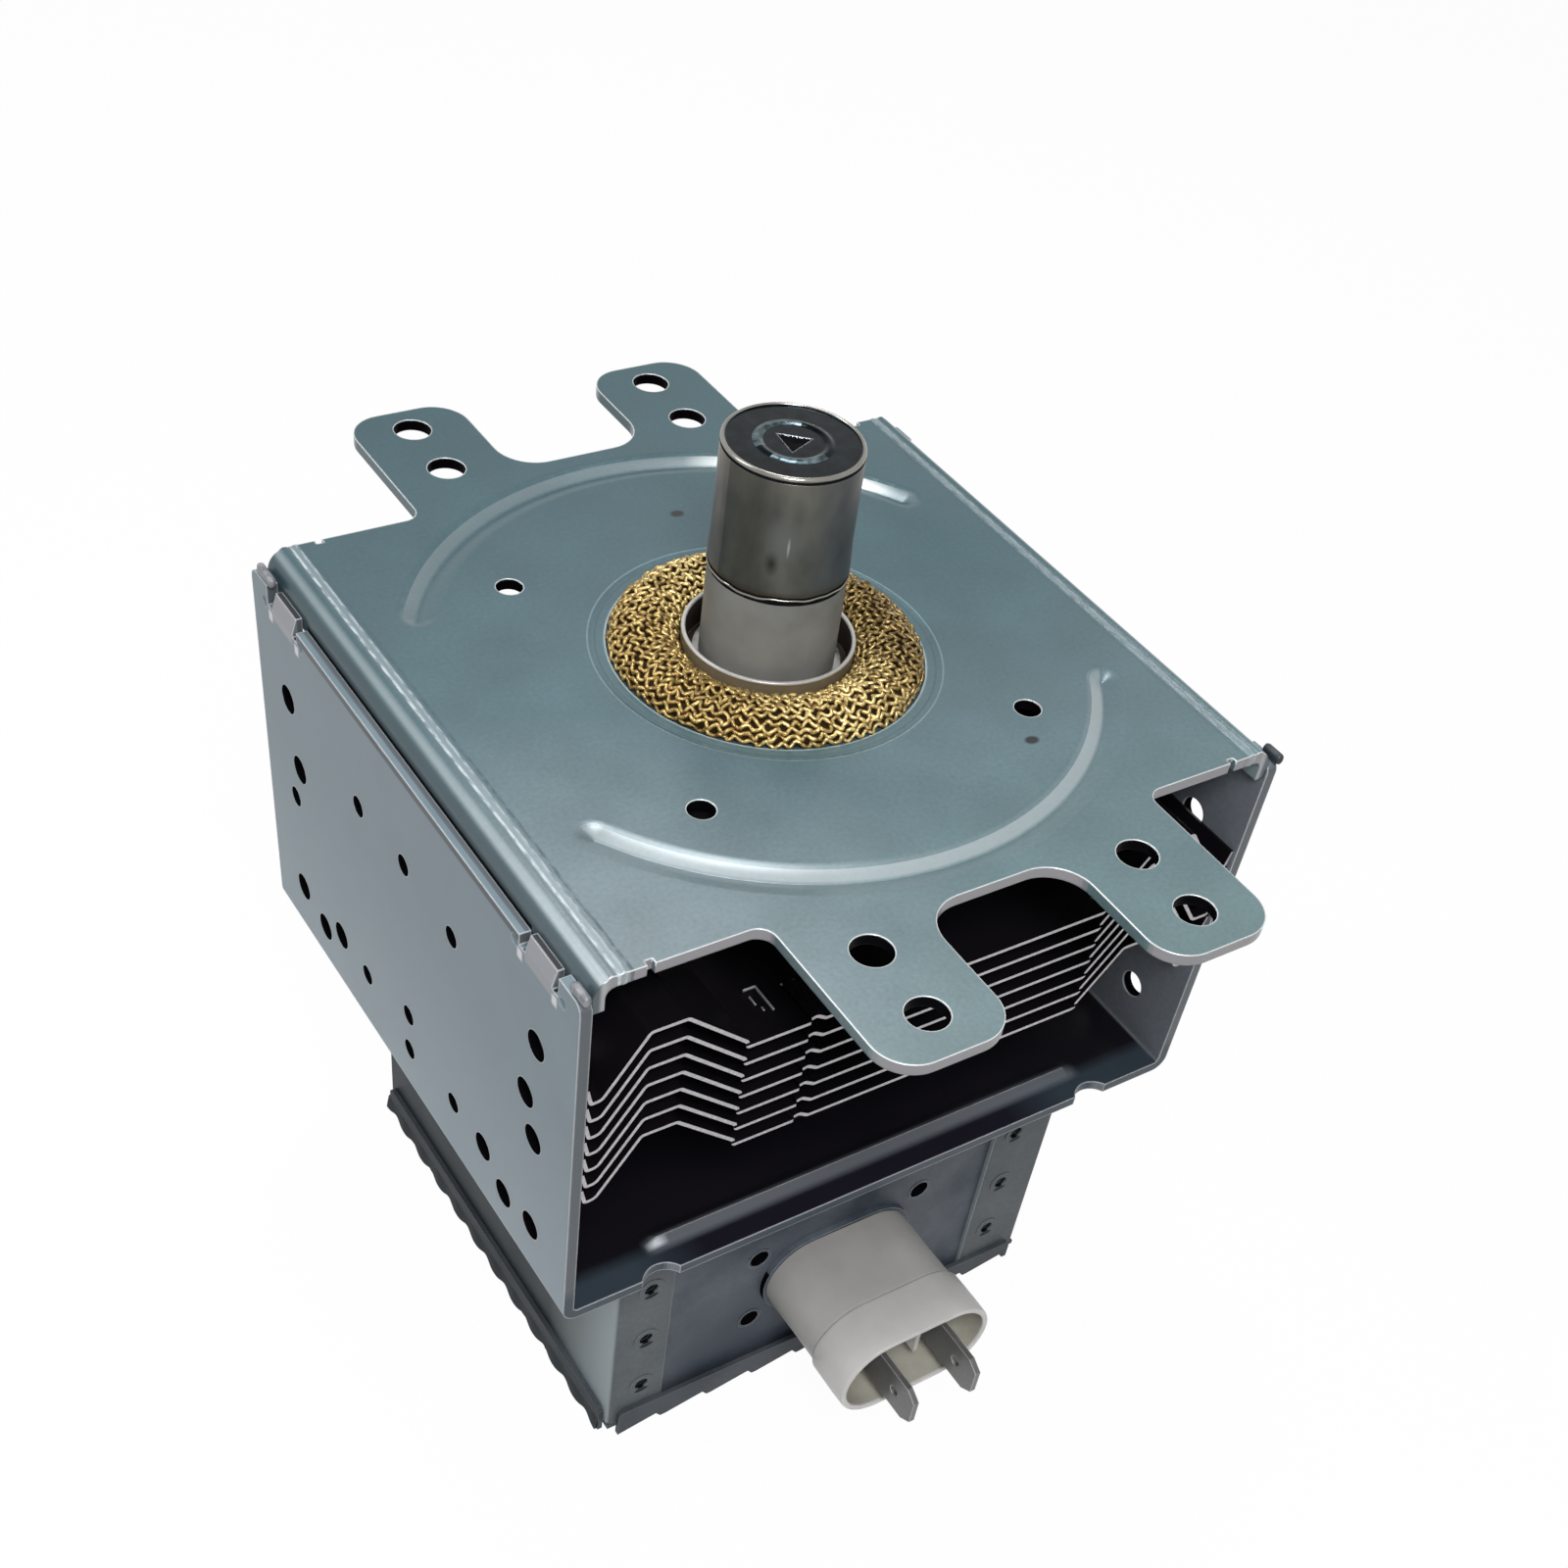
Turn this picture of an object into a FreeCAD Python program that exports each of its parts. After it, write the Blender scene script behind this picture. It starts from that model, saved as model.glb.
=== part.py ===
import FreeCAD, Part
import math
import os

# Packaged magnetron, antenna up. Millimetres.
# Origin: antenna axis (Z) where it meets the top face of the mounting plate.
# X runs between the two side walls, the terminals point to -Y.

V = FreeCAD.Vector

# Sheet and general fits
sheet_t = 1.4
slip = 0.05

# Yoke frame: folded U of sheet steel
yoke_width = 91.4
yoke_depth = 79.6
yoke_height = 53.9
yoke_bend_r = 2.0
wall_corner_drop = 2.3
wall_corner_r = 1.4
window_half = 27.2
window_drop = 3.5
slit_width = 1.3
slit_drop = 4.9
stake_tab_width = 5.6
stake_tab_drop = 2.7
stake_tab_foot = 4.6
stake_tab_slope = 18.0
stake_dent_r = 0.9
stake_dent_depth = 0.35
wall_hole_r = 1.8
wall_small_hole_r = 1.3
wall_large_holes = ((31.4, 15.5), (29.4, 24.6), (31.4, 30.2), (31.4, 45.2), (24.8, 46.7), (19.6, 43.8))
wall_small_holes = ((0.0, 16.3), (11.9, 17.0), (11.9, 43.9), (0.0, 40.1), (0.0, 46.0))
rear_small_hole = 2
yoke_bore_r = 10.6
bead_half_length = 31.0
bead_y = 35.3
bead_half_width = 2.0
bead_height = 0.9
notch_x = 32.6
notch_r = 2.9
notch_depth = 1.5

# Mounting plate
plate_front = 39.5
plate_rear = 38.4
plate_roll_r = 2.6
plate_flange = 4.2
crease_insets = (2.2, 3.5)
crease_rise = 0.1
crease_r = 0.8
relief_x = 37.9
relief_width = 0.9
relief_depth = 0.7
ear_inner_x = 9.6
ear_outer_x = 24.8
ear_tip_front = 62.4
ear_tip_rear = 61.3
ear_tip_r = 4.6
ear_slot_y = 44.2
ear_slot_r = 5.0
ear_root_r = 2.0
ear_hole_x = 17.25
ear_hole_outer_y = 56.8
ear_hole_inner_y = 47.2
ear_hole_r = 2.35
ring_hole_pitch_r = 30.7
ring_hole_r = 1.6
rib_pitch_r = 39.6
rib_half_width = 2.5
rib_depth = 0.85
rib_half_angle = 58.6
bead_softness = 1.6
seat_r = 18.5
seat_depth = 0.5
seat_step_r = 20.0
seat_step_width = 0.6
seat_step_depth = 0.15
plate_bore_r = 10.6

# Gasket and collar round the antenna
gasket_outer_r = 18.2
gasket_height = 2.9
gasket_edge_height = 1.5
gasket_ridges = 6
gasket_ridge_depth = 0.3
collar_outer_r = 10.0
collar_t = 0.4
collar_top = 2.1
collar_rim_r = 0.26

# Antenna
ceramic_outer_r = 7.85
ceramic_inner_r = 5.4
ceramic_foot = -0.6
ceramic_top = 10.8
seal_disc_t = 0.4
seal_rim_height = 1.6
seal_rim_t = 0.4
cap_top = 26.0
cap_foot_r = 8.0
cap_top_r = 7.8
cap_wall = 0.4
cap_roof_t = 1.2
cap_round = 0.7
cap_dish_r = 6.9
cap_dish_depth = 0.25
cap_ring_r = 3.6
cap_ring_half_width = 0.45
cap_triangle_r = 2.2
cap_triangle_depth = 0.7
cap_triangle_turn = 353.0
tube_r = 3.1
tube_wall = 0.6
tube_straight_top = 19.0
pinch_top = 23.2
pinch_half_width = 3.4
pinch_half_t = 0.45
antenna_lead_r = 1.1
antenna_lead_offset = 6.8
antenna_lead_bend_z = -7.0

# Vacuum tube between the magnets
magnet_wall_gap = 17.3
magnet_bore_r = 10.2
seal_cup_t = 0.5
seal_flange_r = 18.0
neck_r = 8.6
lower_neck_end = 57.5
pole_t = 1.6
pole_cone_r = 12.0
pole_tip_r = 5.8
pole_bore_r = 4.6
pole_cone_depth = 4.8
anode_outer_r = 19.0
anode_inner_r = 17.3
anode_height = 22.6
vane_count = 10
vane_t = 1.8
vane_height = 9.4
vane_tip_r = 4.6
strap_outer_r = 8.6
strap_gap = 0.6
strap_width = 0.9
strap_t = 0.9
strap_rise = 0.3
filament_r = 1.9
filament_turns = 7
hat_r = 3.9
hat_t = 0.8
lead_r = 0.7
side_lead_x = 2.6

# Stem in the filter box
stem_r = 7.9
stem_length = 10.0
stem_terminal_t = 0.6
stem_terminal_size = 5.0

# Cooling fins
fin_count = 7
fin_t = 0.45
fin_pitch = 2.65
fin_first_drop = 2.1
fin_depth = 78.6
fin_flat_inset = 19.7
fin_step = 0.9
fin_step_slit = 2.5
fin_rise = 7.9
fin_insets_left = (11.7, 7.3, 2.0)
fin_insets_right = (14.1, 8.5, 3.1)
fin_foot_rise = 0.3
fin_hook_height = 2.1
fin_hook_lean = 0.5
fin_fold_r = 0.7
fin_foot_r = 1.1
fin_hook_r = 0.35
fin_collar_height = 1.7
fin_collar_t = 0.5
fin_tongue_x = 15.6
fin_tongue_half_width = 1.0
fin_tongue_lift = 0.85
fin_tongue_length = 6.0

# Filter box
box_t = 0.7
box_width = 68.6
box_half_depth = 33.15
box_height = 38.5
seam_left = 8.0
seam_right = 10.2
cover_fit = 0.05
cover_band = 4.7
cover_front_fall = 1.4
cover_skirt = 2.1
cover_corner_gap = 1.3
cover_corner_r = 1.0
cover_teeth = 9
cover_tooth_depth = 1.0
clinch_r = 1.3
clinch_head_r = 1.75
clinch_head_t = 0.15
clinch_pit_r = 1.0
clinch_pit_depth = 0.7
clinch_rows = (10.6, 21.2, 31.5)
clinch_left_inset = 4.6
clinch_right_inset = 6.6

# Feed-through: a moulded oval socket with two blades
feed_z = -75.9
feed_width = 22.4
feed_height = 12.9
feed_length = 19.6
feed_step_y = 12.4
feed_step = 0.45
feed_wall = 0.9
feed_floor = 5.6
feed_lip = 1.6
feed_lip_t = 1.0
flange_t = 1.0
flange_width = 32.0
flange_height = 19.6
flange_rim = 0.5
flange_rim_height = 0.8
eyelet_x = 12.8
eyelet_dz = 6.6
eyelet_r = 1.4
eyelet_wall = 0.35
case_length = 13.0
case_width = 24.0
case_height = 14.6
case_wall = 1.2
capacitor_length = 6.5
blade_spacing = 9.8
blade_width = 6.3
blade_t = 0.8
blade_reach = 6.5
blade_chamfer_y = 1.7
blade_chamfer_z = 1.2
blade_hole_r = 0.75
blade_hole_y = 4.0
blade_stem_width = 3.2
guide_t = 0.7
guide_offset = 2.3
guide_height = 7.0
guide_reach = 3.0

# Choke coils
coil_x = 14.2
coil_y0 = -13.0
coil_length = 25.0
coil_r = 4.1
coil_turns = 9
core_r = 2.6
core_overhang = 1.0
wire_half = 0.6

# Levels that follow from the values above
seat_z = -seat_depth
magnet_top = -(sheet_t + seat_depth)
web_top = -(yoke_height - sheet_t)
stack = magnet_top - web_top
magnet_t = (stack - anode_height - 2 * pole_t - 2 * seal_cup_t) / 2
upper_cup_z = magnet_top - magnet_t
upper_pole_z = upper_cup_z - seal_cup_t
anode_top = upper_pole_z - pole_t
anode_foot = anode_top - anode_height
lower_pole_z = anode_foot - pole_t
mid_z = (anode_top + anode_foot) / 2
wall_inner_x = yoke_width / 2 - sheet_t
magnet_outer_r = wall_inner_x - magnet_wall_gap
box_top = -yoke_height
box_foot = box_top - box_height
box_back = box_half_depth
box_front = -(box_half_depth + box_t)
panel_y = -box_half_depth


def slab(x0, x1, y0, y1, z0, z1):
    return Part.makeBox(x1 - x0, y1 - y0, z1 - z0, V(x0, y0, z0))


def turned(points):
    wire = Part.makePolygon([V(r, 0, z) for r, z in points + points[:1]])
    return Part.Face(wire).revolve(V(0, 0, 0), V(0, 0, 1), 360)


def disc(radius, z0, z1, x=0.0, y=0.0):
    return Part.makeCylinder(radius, z1 - z0, V(x, y, z0))


def ring(outer, inner, z0, z1):
    return turned([(inner, z0), (outer, z0), (outer, z1), (inner, z1)])


def rod_y(radius, y0, y1, x, z):
    return Part.makeCylinder(radius, y1 - y0, V(x, y0, z), V(0, 1, 0))


def rod_x(radius, x0, x1, y, z):
    return Part.makeCylinder(radius, x1 - x0, V(x0, y, z), V(1, 0, 0))


def edges_at(shape, direction, spots):
    found = []
    for edge in shape.Edges:
        a, b = edge.Vertexes[0].Point, edge.Vertexes[-1].Point
        run = (b - a)
        if run.Length < 1e-6 or abs(abs(run.normalize().dot(direction)) - 1) > 1e-6:
            continue
        for spot in spots:
            if (a - spot).cross(direction).Length < 1e-4:
                found.append(edge)
                break
    return found


def rounded(shape, direction, spots, radius):
    return shape.makeFillet(radius, edges_at(shape, direction, spots))


def oval(width, height, y0, y1, x=0.0, z=feed_z):
    body = slab(x - width / 2, x + width / 2, y0, y1, z - height / 2, z + height / 2)
    corners = [V(x + sx * width / 2, y0, z + sz * height / 2) for sx in (-1, 1) for sz in (-1, 1)]
    return rounded(body, V(0, 1, 0), corners, height / 2 - 0.01)


def channel(half_width, half_depth, web_z, lip_z, thickness, outer_r):
    """Sheet folded to a U along Y: a web at web_z and two walls that reach to lip_z."""
    way = 1 if lip_z > web_z else -1
    z0, z1 = sorted((web_z, lip_z))
    outer = slab(-half_width, half_width, -half_depth, half_depth, z0, z1)
    outer = rounded(outer, V(0, 1, 0), [V(s * half_width, 0, web_z) for s in (-1, 1)], outer_r)
    inner_half = half_width - thickness
    inner_web = web_z + way * thickness
    z0, z1 = sorted((inner_web, lip_z + way))
    inner = slab(-inner_half, inner_half, -half_depth - 1, half_depth + 1, z0, z1)
    inner_r = outer_r - thickness
    if inner_r > 0.05:
        inner = rounded(inner, V(0, 1, 0), [V(s * inner_half, 0, inner_web) for s in (-1, 1)], inner_r)
    return outer.cut(inner)


def folded_strip(path, thickness, y0, y1, fold_r):
    """Sheet of even thickness along a path in the XZ plane; fold_r has a mid-sheet radius for each fold."""
    sides = ([], [])
    turns = []
    last = len(path) - 1
    for i, (x, z) in enumerate(path):
        normals = []
        for a, b in ((i - 1, i), (i, i + 1)):
            if a < 0 or b > last:
                continue
            dx, dz = path[b][0] - path[a][0], path[b][1] - path[a][1]
            run = math.hypot(dx, dz)
            normals.append((-dz / run, dx / run))
        nx = sum(n[0] for n in normals) / len(normals)
        nz = sum(n[1] for n in normals) / len(normals)
        reach = thickness / 2 / (nx * nx + nz * nz)
        sides[0].append(V(x + nx * reach, y0, z + nz * reach))
        sides[1].append(V(x - nx * reach, y0, z - nz * reach))
        if len(normals) == 2:
            turns.append(1 if normals[0][0] * normals[1][1] > normals[0][1] * normals[1][0] else -1)
    outline = sides[0] + sides[1][::-1]
    strip = Part.Face(Part.makePolygon(outline + outline[:1])).extrude(V(0, y1 - y0, 0))
    for side, way in zip(sides, (-1, 1)):
        for corner, turn, radius in zip(side[1:-1], turns, fold_r):
            strip = rounded(strip, V(0, 1, 0), [corner], radius + way * turn * thickness / 2)
    return strip


def bead_flank(width, height):
    """Soft curve from a pressed bead's crest to its edge; a negative width runs the other way."""
    steps = 8
    curve = Part.BSplineCurve()
    curve.interpolate([V(width * i / steps, 0, height * (1 - i / steps) ** bead_softness)
                       for i in range(steps + 1)])
    return curve.toShape()


def bead_section(half_width, height):
    """Pressed bead's section: two soft flanks that meet in a crease at its crest."""
    base = Part.makeLine(V(half_width, 0, 0), V(-half_width, 0, 0))
    return Part.Face(Part.Wire([bead_flank(half_width, height), base, bead_flank(-half_width, height)]))


def bead_end(half_width, height, x, y, z):
    base = [Part.makeLine(V(half_width, 0, 0), V(0, 0, 0)), Part.makeLine(V(0, 0, 0), V(0, 0, height))]
    cap = Part.Face(Part.Wire([bead_flank(half_width, height)] + base)).revolve(V(0, 0, 0), V(0, 0, 1), 360)
    cap.translate(V(x, y, z))
    return cap


def arc_bead(pitch_r, half_width, height, z, half_angle, middle_angle):
    """Pressed bead along an arc about the Z axis, with rounded ends; a negative height points down."""
    section = bead_section(half_width, height)
    section.translate(V(pitch_r, 0, z))
    bead = section.revolve(V(0, 0, 0), V(0, 0, 1), 2 * half_angle)
    ends = [bead_end(half_width, height, pitch_r, 0, z) for _ in range(2)]
    ends[1].rotate(V(0, 0, 0), V(0, 0, 1), 2 * half_angle)
    bead = bead.fuse(ends)
    bead.rotate(V(0, 0, 0), V(0, 0, 1), middle_angle - half_angle)
    return bead


def long_bead(half_length, half_width, height, y, z):
    """Straight pressed bead along X with rounded ends."""
    section = bead_section(half_width, height)
    section.rotate(V(0, 0, 0), V(0, 0, 1), 90)
    section.translate(V(-half_length, y, z))
    bead = section.extrude(V(2 * half_length, 0, 0))
    return bead.fuse([bead_end(half_width, height, s * half_length, y, z) for s in (-1, 1)])


def wall_top_cuts(side):
    """Window, slits and slanted staking tabs along the top edge of one side wall."""
    x0, x1 = sorted((side * (wall_inner_x - 1), side * (yoke_width / 2 + 1)))
    tools = [slab(x0, x1, -window_half, window_half, -window_drop, 5)]
    for end in (-1, 1):
        inner = window_half + slit_width
        outer = inner + stake_tab_width
        for start in (window_half, outer):
            y0, y1 = sorted((end * start, end * (start + slit_width)))
            tools.append(slab(x0, x1, y0, y1, -slit_drop, 5))
        y0, y1 = sorted((end * inner, end * outer))
        tools.append(slab(x0, x1, y0, y1, -stake_tab_drop, 5))
        lean = slab(0, 10, y0, y1, 0, 10)
        lean.rotate(V(0, 0, 0), V(0, 1, 0), -stake_tab_slope)
        if side < 0:
            lean = lean.mirror(V(0, 0, 0), V(1, 0, 0))
        lean.translate(V(side * yoke_width / 2, 0, -stake_tab_foot))
        tools.append(lean)
        for y in (window_half - stake_dent_r, outer + slit_width + stake_dent_r):
            dent = Part.makeSphere(stake_dent_r, V(side * (yoke_width / 2 + stake_dent_r - stake_dent_depth),
                                                   end * y, -slit_drop))
            tools.append(dent)
    return tools


def wall_holes(side):
    x0, x1 = sorted((side * (wall_inner_x - 1), side * (yoke_width / 2 + 1)))
    tools = []
    for i, (y, drop) in enumerate(wall_large_holes):
        tools.append(rod_x(wall_hole_r, x0, x1, -y, -drop))
        rear_r = wall_small_hole_r if i == rear_small_hole else wall_hole_r
        tools.append(rod_x(rear_r, x0, x1, y, -drop))
    for y, drop in wall_small_holes:
        for s in ((-1, 1) if y else (1,)):
            tools.append(rod_x(wall_small_hole_r, x0, x1, s * y, -drop))
    return tools


def yoke_frame():
    half_depth = yoke_depth / 2
    frame = channel(yoke_width / 2, half_depth, -yoke_height, -wall_corner_drop, sheet_t, yoke_bend_r)
    shoulders = [V(0, s * half_depth, -wall_corner_drop) for s in (-1, 1)]
    frame = rounded(frame, V(1, 0, 0), shoulders, wall_corner_r)
    tools = [disc(yoke_bore_r, -yoke_height - 1, web_top + 1)]
    for side in (-1, 1):
        tools += wall_top_cuts(side)
        tools += wall_holes(side)
        for end in (-1, 1):
            notch = disc(notch_r, -yoke_height - 1, web_top + 1, side * notch_x,
                         end * (half_depth + notch_r - notch_depth))
            tools.append(notch)
    frame = frame.cut(tools)
    for end in (-1, 1):
        y = end * bead_y
        frame = frame.cut(long_bead(bead_half_length, bead_half_width - 0.4, bead_height, y, -yoke_height))
        frame = frame.fuse(long_bead(bead_half_length, bead_half_width, bead_height, y, web_top))
    return frame.removeSplitter()


def plate_blank():
    """The plate with its rolled side edges and its four ears, before it is pierced and embossed."""
    middle = (plate_rear - plate_front) / 2
    half_depth = (plate_rear + plate_front) / 2
    plate = channel(wall_inner_x - slip, half_depth, 0, -plate_flange, sheet_t, plate_roll_r)
    plate.translate(V(0, middle, 0))
    tongue = slab(-ear_outer_x, ear_outer_x, -ear_tip_front, ear_tip_rear, -sheet_t, 0)
    slots = []
    for end, tip in ((-1, ear_tip_front), (1, ear_tip_rear)):
        y0, y1 = sorted((end * ear_slot_y, end * (tip + 1)))
        slot = slab(-ear_inner_x, ear_inner_x, y0, y1, -sheet_t - 1, 1)
        mouth = [V(s * ear_inner_x, end * ear_slot_y, 0) for s in (-1, 1)]
        slots.append(rounded(slot, V(0, 0, 1), mouth, ear_slot_r))
    tongue = tongue.cut(slots)
    tips = [V(s * x, y, 0) for s in (-1, 1) for x in (ear_inner_x, ear_outer_x)
            for y in (-ear_tip_front, ear_tip_rear)]
    tongue = rounded(tongue, V(0, 0, 1), tips, ear_tip_r)
    plate = plate.fuse(tongue).removeSplitter()
    roots = [V(s * ear_outer_x, y, 0) for s in (-1, 1) for y in (-plate_front, plate_rear)]
    return rounded(plate, V(0, 0, 1), roots, ear_root_r)


def plate_piercings():
    tools = [disc(plate_bore_r, magnet_top - 1, 1)]
    reach = ring_hole_pitch_r / math.sqrt(2)
    for sx in (-1, 1):
        for end, edge in ((-1, plate_front), (1, plate_rear)):
            for y in (ear_hole_outer_y, ear_hole_inner_y):
                tools.append(disc(ear_hole_r, -sheet_t - 1, 1, sx * ear_hole_x, end * y))
            tools.append(disc(ring_hole_r, -sheet_t - 1, 1, sx * reach, end * reach))
            x = sx * relief_x
            y0, y1 = sorted((end * (edge - relief_depth), end * (edge + 1)))
            tools.append(slab(x - relief_width / 2, x + relief_width / 2, y0, y1, -sheet_t - 1, 1))
    return tools


def seat_recess():
    """The gasket's seat: a flat sunk floor and a shallow step round it."""
    return turned([(0, seat_z), (seat_r, seat_z), (seat_r, -seat_step_depth), (seat_step_r, -seat_step_depth),
                   (seat_step_r + seat_step_width, 0), (seat_step_r + seat_step_width, 1), (0, 1)])


def mounting_plate():
    plate = plate_blank()
    plate = plate.fuse(disc(seat_r + sheet_t / 2, magnet_top, -sheet_t))
    plate = plate.cut(plate_piercings() + [seat_recess()])
    for sx in (-1, 1):
        for inset in crease_insets:
            x = sx * (wall_inner_x - inset)
            plate = plate.fuse(rod_y(crease_r, -plate_front, plate_rear, x, crease_rise - crease_r))
    for middle in (90, 270):
        plate = plate.cut(arc_bead(rib_pitch_r, rib_half_width, -rib_depth, 0, rib_half_angle, middle))
        plate = plate.fuse(arc_bead(rib_pitch_r, rib_half_width - 0.3, -rib_depth, -sheet_t,
                                    rib_half_angle, middle))
    return plate.removeSplitter()


def rf_gasket():
    inner = collar_outer_r + slip
    run = gasket_outer_r - inner
    points = [(inner, seat_z), (gasket_outer_r - 0.5, seat_z), (gasket_outer_r, seat_z + 0.5)]
    steps = 2 * gasket_ridges
    swell = gasket_height - gasket_edge_height
    for i in range(steps + 1):
        share = i / steps
        radius = gasket_outer_r - share * run
        crown = gasket_edge_height + swell * math.sin(math.pi * min(1, share * 1.15))
        dip = gasket_ridge_depth if i % 2 else 0.0
        points.append((radius, seat_z + crown - dip))
    return turned(points)


def gasket_collar():
    inner = collar_outer_r - collar_t
    foot = magnet_top + slip
    shell = turned([(neck_r + slip, foot), (collar_outer_r, foot), (collar_outer_r, collar_top),
                    (inner, collar_top), (inner, foot + collar_t), (neck_r + slip, foot + collar_t)])
    rim = Part.makeTorus(collar_outer_r - collar_t / 2, collar_rim_r, V(0, 0, collar_top))
    return shell.fuse(rim).removeSplitter()


def antenna_ceramic():
    return ring(ceramic_outer_r, ceramic_inner_r, ceramic_foot, ceramic_top)


def antenna_seal_cup():
    disc_top = ceramic_top + seal_disc_t
    rim_outer = cap_top_r - cap_wall - 0.15
    return turned([(tube_r + slip, ceramic_top), (ceramic_outer_r, ceramic_top), (ceramic_outer_r, disc_top),
                   (rim_outer, disc_top), (rim_outer, disc_top + seal_rim_height),
                   (rim_outer - seal_rim_t, disc_top + seal_rim_height), (rim_outer - seal_rim_t, disc_top),
                   (tube_r + slip, disc_top)])


def antenna_cap():
    foot = ceramic_top + seal_disc_t
    bore = cap_top_r - cap_wall
    dish_z = cap_top - cap_dish_depth
    ring_z = cap_top - 0.02
    half = cap_ring_half_width
    cap = turned([(bore, foot), (cap_foot_r, foot), (cap_foot_r, foot + 0.6), (cap_top_r, foot + 3.5),
                  (cap_top_r, cap_top - cap_round), (cap_top_r - 0.3 * cap_round, cap_top - 0.3 * cap_round),
                  (cap_top_r - cap_round, cap_top), (cap_dish_r, cap_top), (cap_dish_r - 0.4, dish_z),
                  (cap_ring_r + 2 * half, dish_z), (cap_ring_r + half, ring_z), (cap_ring_r - half, ring_z),
                  (cap_ring_r - 2 * half, dish_z), (0, dish_z), (0, cap_top - cap_roof_t),
                  (bore, cap_top - cap_roof_t)])
    turns = [math.radians(cap_triangle_turn + 120 * i) for i in range(3)]
    corners = [V(cap_triangle_r * math.cos(a), cap_triangle_r * math.sin(a), 0) for a in turns]
    dimple = Part.Face(Part.makePolygon(corners + corners[:1])).extrude(V(0, 0, cap_triangle_depth))
    dimple.translate(V(0, 0, dish_z - cap_triangle_depth))
    return cap.cut(dimple)


def exhaust_tube():
    foot = ceramic_top
    outer = disc(tube_r, foot, tube_straight_top)
    circle = Part.Wire(Part.makeCircle(tube_r, V(0, 0, tube_straight_top)))
    flat = Part.Wire(Part.Ellipse(V(0, 0, pinch_top), pinch_half_width, pinch_half_t).toShape())
    pinch = Part.makeLoft([circle, flat], True)
    return outer.fuse(pinch).cut(disc(tube_r - tube_wall, foot - 1, tube_straight_top - 0.5))


def straight_rod(start, end, radius):
    run = end - start
    return Part.makeCylinder(radius, run.Length, start, run)


def antenna_lead():
    vane_top = mid_z + vane_height / 2
    turn_z = anode_top - pole_cone_depth * 0.2 + pole_t + 1.0
    top = V(0, 0, tube_straight_top - 1.0)
    bend = V(0, 0, antenna_lead_bend_z)
    elbow = V(antenna_lead_offset, 0, turn_z)
    foot = V(antenna_lead_offset, 0, vane_top)
    upper = straight_rod(bend, top, antenna_lead_r)
    middle = straight_rod(bend, elbow, antenna_lead_r)
    lower = straight_rod(foot, elbow, antenna_lead_r)
    knees = [Part.makeSphere(antenna_lead_r, p) for p in (bend, elbow)]
    return upper.fuse([middle, lower] + knees).removeSplitter()


def seal_cup(flange_z, end_z, way):
    """Thin cup: a flange on the pole piece and a neck that carries a ceramic; way is +1 up."""
    t = seal_cup_t
    inner = neck_r - t
    seat = end_z - way * t
    lip = ceramic_inner_r + t
    return turned([(inner, flange_z), (seal_flange_r, flange_z), (seal_flange_r, flange_z + way * t),
                   (neck_r, flange_z + way * t), (neck_r, end_z), (lip, end_z), (lip, seat), (inner, seat)])


def pole_piece(flange_z, way):
    """Disc with a cone towards the middle of the anode; way is +1 when the cone points up."""
    inner_z = flange_z + way * pole_t
    tip_z = inner_z + way * pole_cone_depth
    points = [(pole_bore_r, tip_z), (pole_tip_r, tip_z), (pole_cone_r, inner_z), (anode_outer_r, inner_z),
              (anode_outer_r, flange_z), (pole_cone_r - 1.5, flange_z), (pole_bore_r, tip_z - way * pole_t)]
    piece = turned(points)
    if way < 0:
        z0 = tip_z - 1
        piece = piece.cut(disc(antenna_lead_r + 0.6, z0, flange_z + 1, antenna_lead_offset, 0))
    return piece


def anode_cylinder():
    return ring(anode_outer_r, anode_inner_r, anode_foot, anode_top)


def anode_vanes():
    z0, z1 = mid_z - vane_height / 2, mid_z + vane_height / 2
    blades = []
    for i in range(vane_count):
        blade = slab(vane_tip_r, anode_inner_r + 0.5, -vane_t / 2, vane_t / 2, z0, z1)
        blade.rotate(V(0, 0, 0), V(0, 0, 1), 360.0 / vane_count * i)
        blades.append(blade)
    bore = disc(anode_inner_r - slip / 2, z0, z1)
    grooves = []
    for end in (z0, z1):
        low, high = (end - 1, end + strap_t) if end == z0 else (end - strap_t, end + 1)
        inner = strap_outer_r - 2 * strap_width - 1.5 * strap_gap
        grooves.append(ring(strap_outer_r + strap_gap / 2, inner, low, high))
    return Part.makeCompound([b.common(bore).cut(grooves) for b in blades])


def strap_rings():
    z0, z1 = mid_z - vane_height / 2, mid_z + vane_height / 2
    rings = []
    for outer in (strap_outer_r, strap_outer_r - strap_width - strap_gap):
        rings.append(ring(outer, outer - strap_width, z1 - strap_t, z1 - strap_rise))
        rings.append(ring(outer, outer - strap_width, z0 + strap_rise, z0 + strap_t))
    return Part.makeCompound(rings)


def filament_span():
    half = vane_height / 2 + 0.4
    return mid_z - half, mid_z + half


def cathode_filament():
    z0, z1 = filament_span()
    pitch = (z1 - z0) / filament_turns
    points = [(filament_r - 0.45, z0)]
    for i in range(filament_turns):
        points.append((filament_r - 0.25, z0 + i * pitch))
        points.append((filament_r, z0 + (i + 0.5) * pitch))
    points += [(filament_r - 0.25, z1), (filament_r - 0.45, z1)]
    return turned(points)


def end_hat(base_z, way, bore):
    z0, z1 = sorted((base_z, base_z + way * hat_t))
    hat = disc(hat_r, z0, z1)
    return hat.cut(disc(bore, z0 - 1, z1 + 1)) if bore else hat


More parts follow.
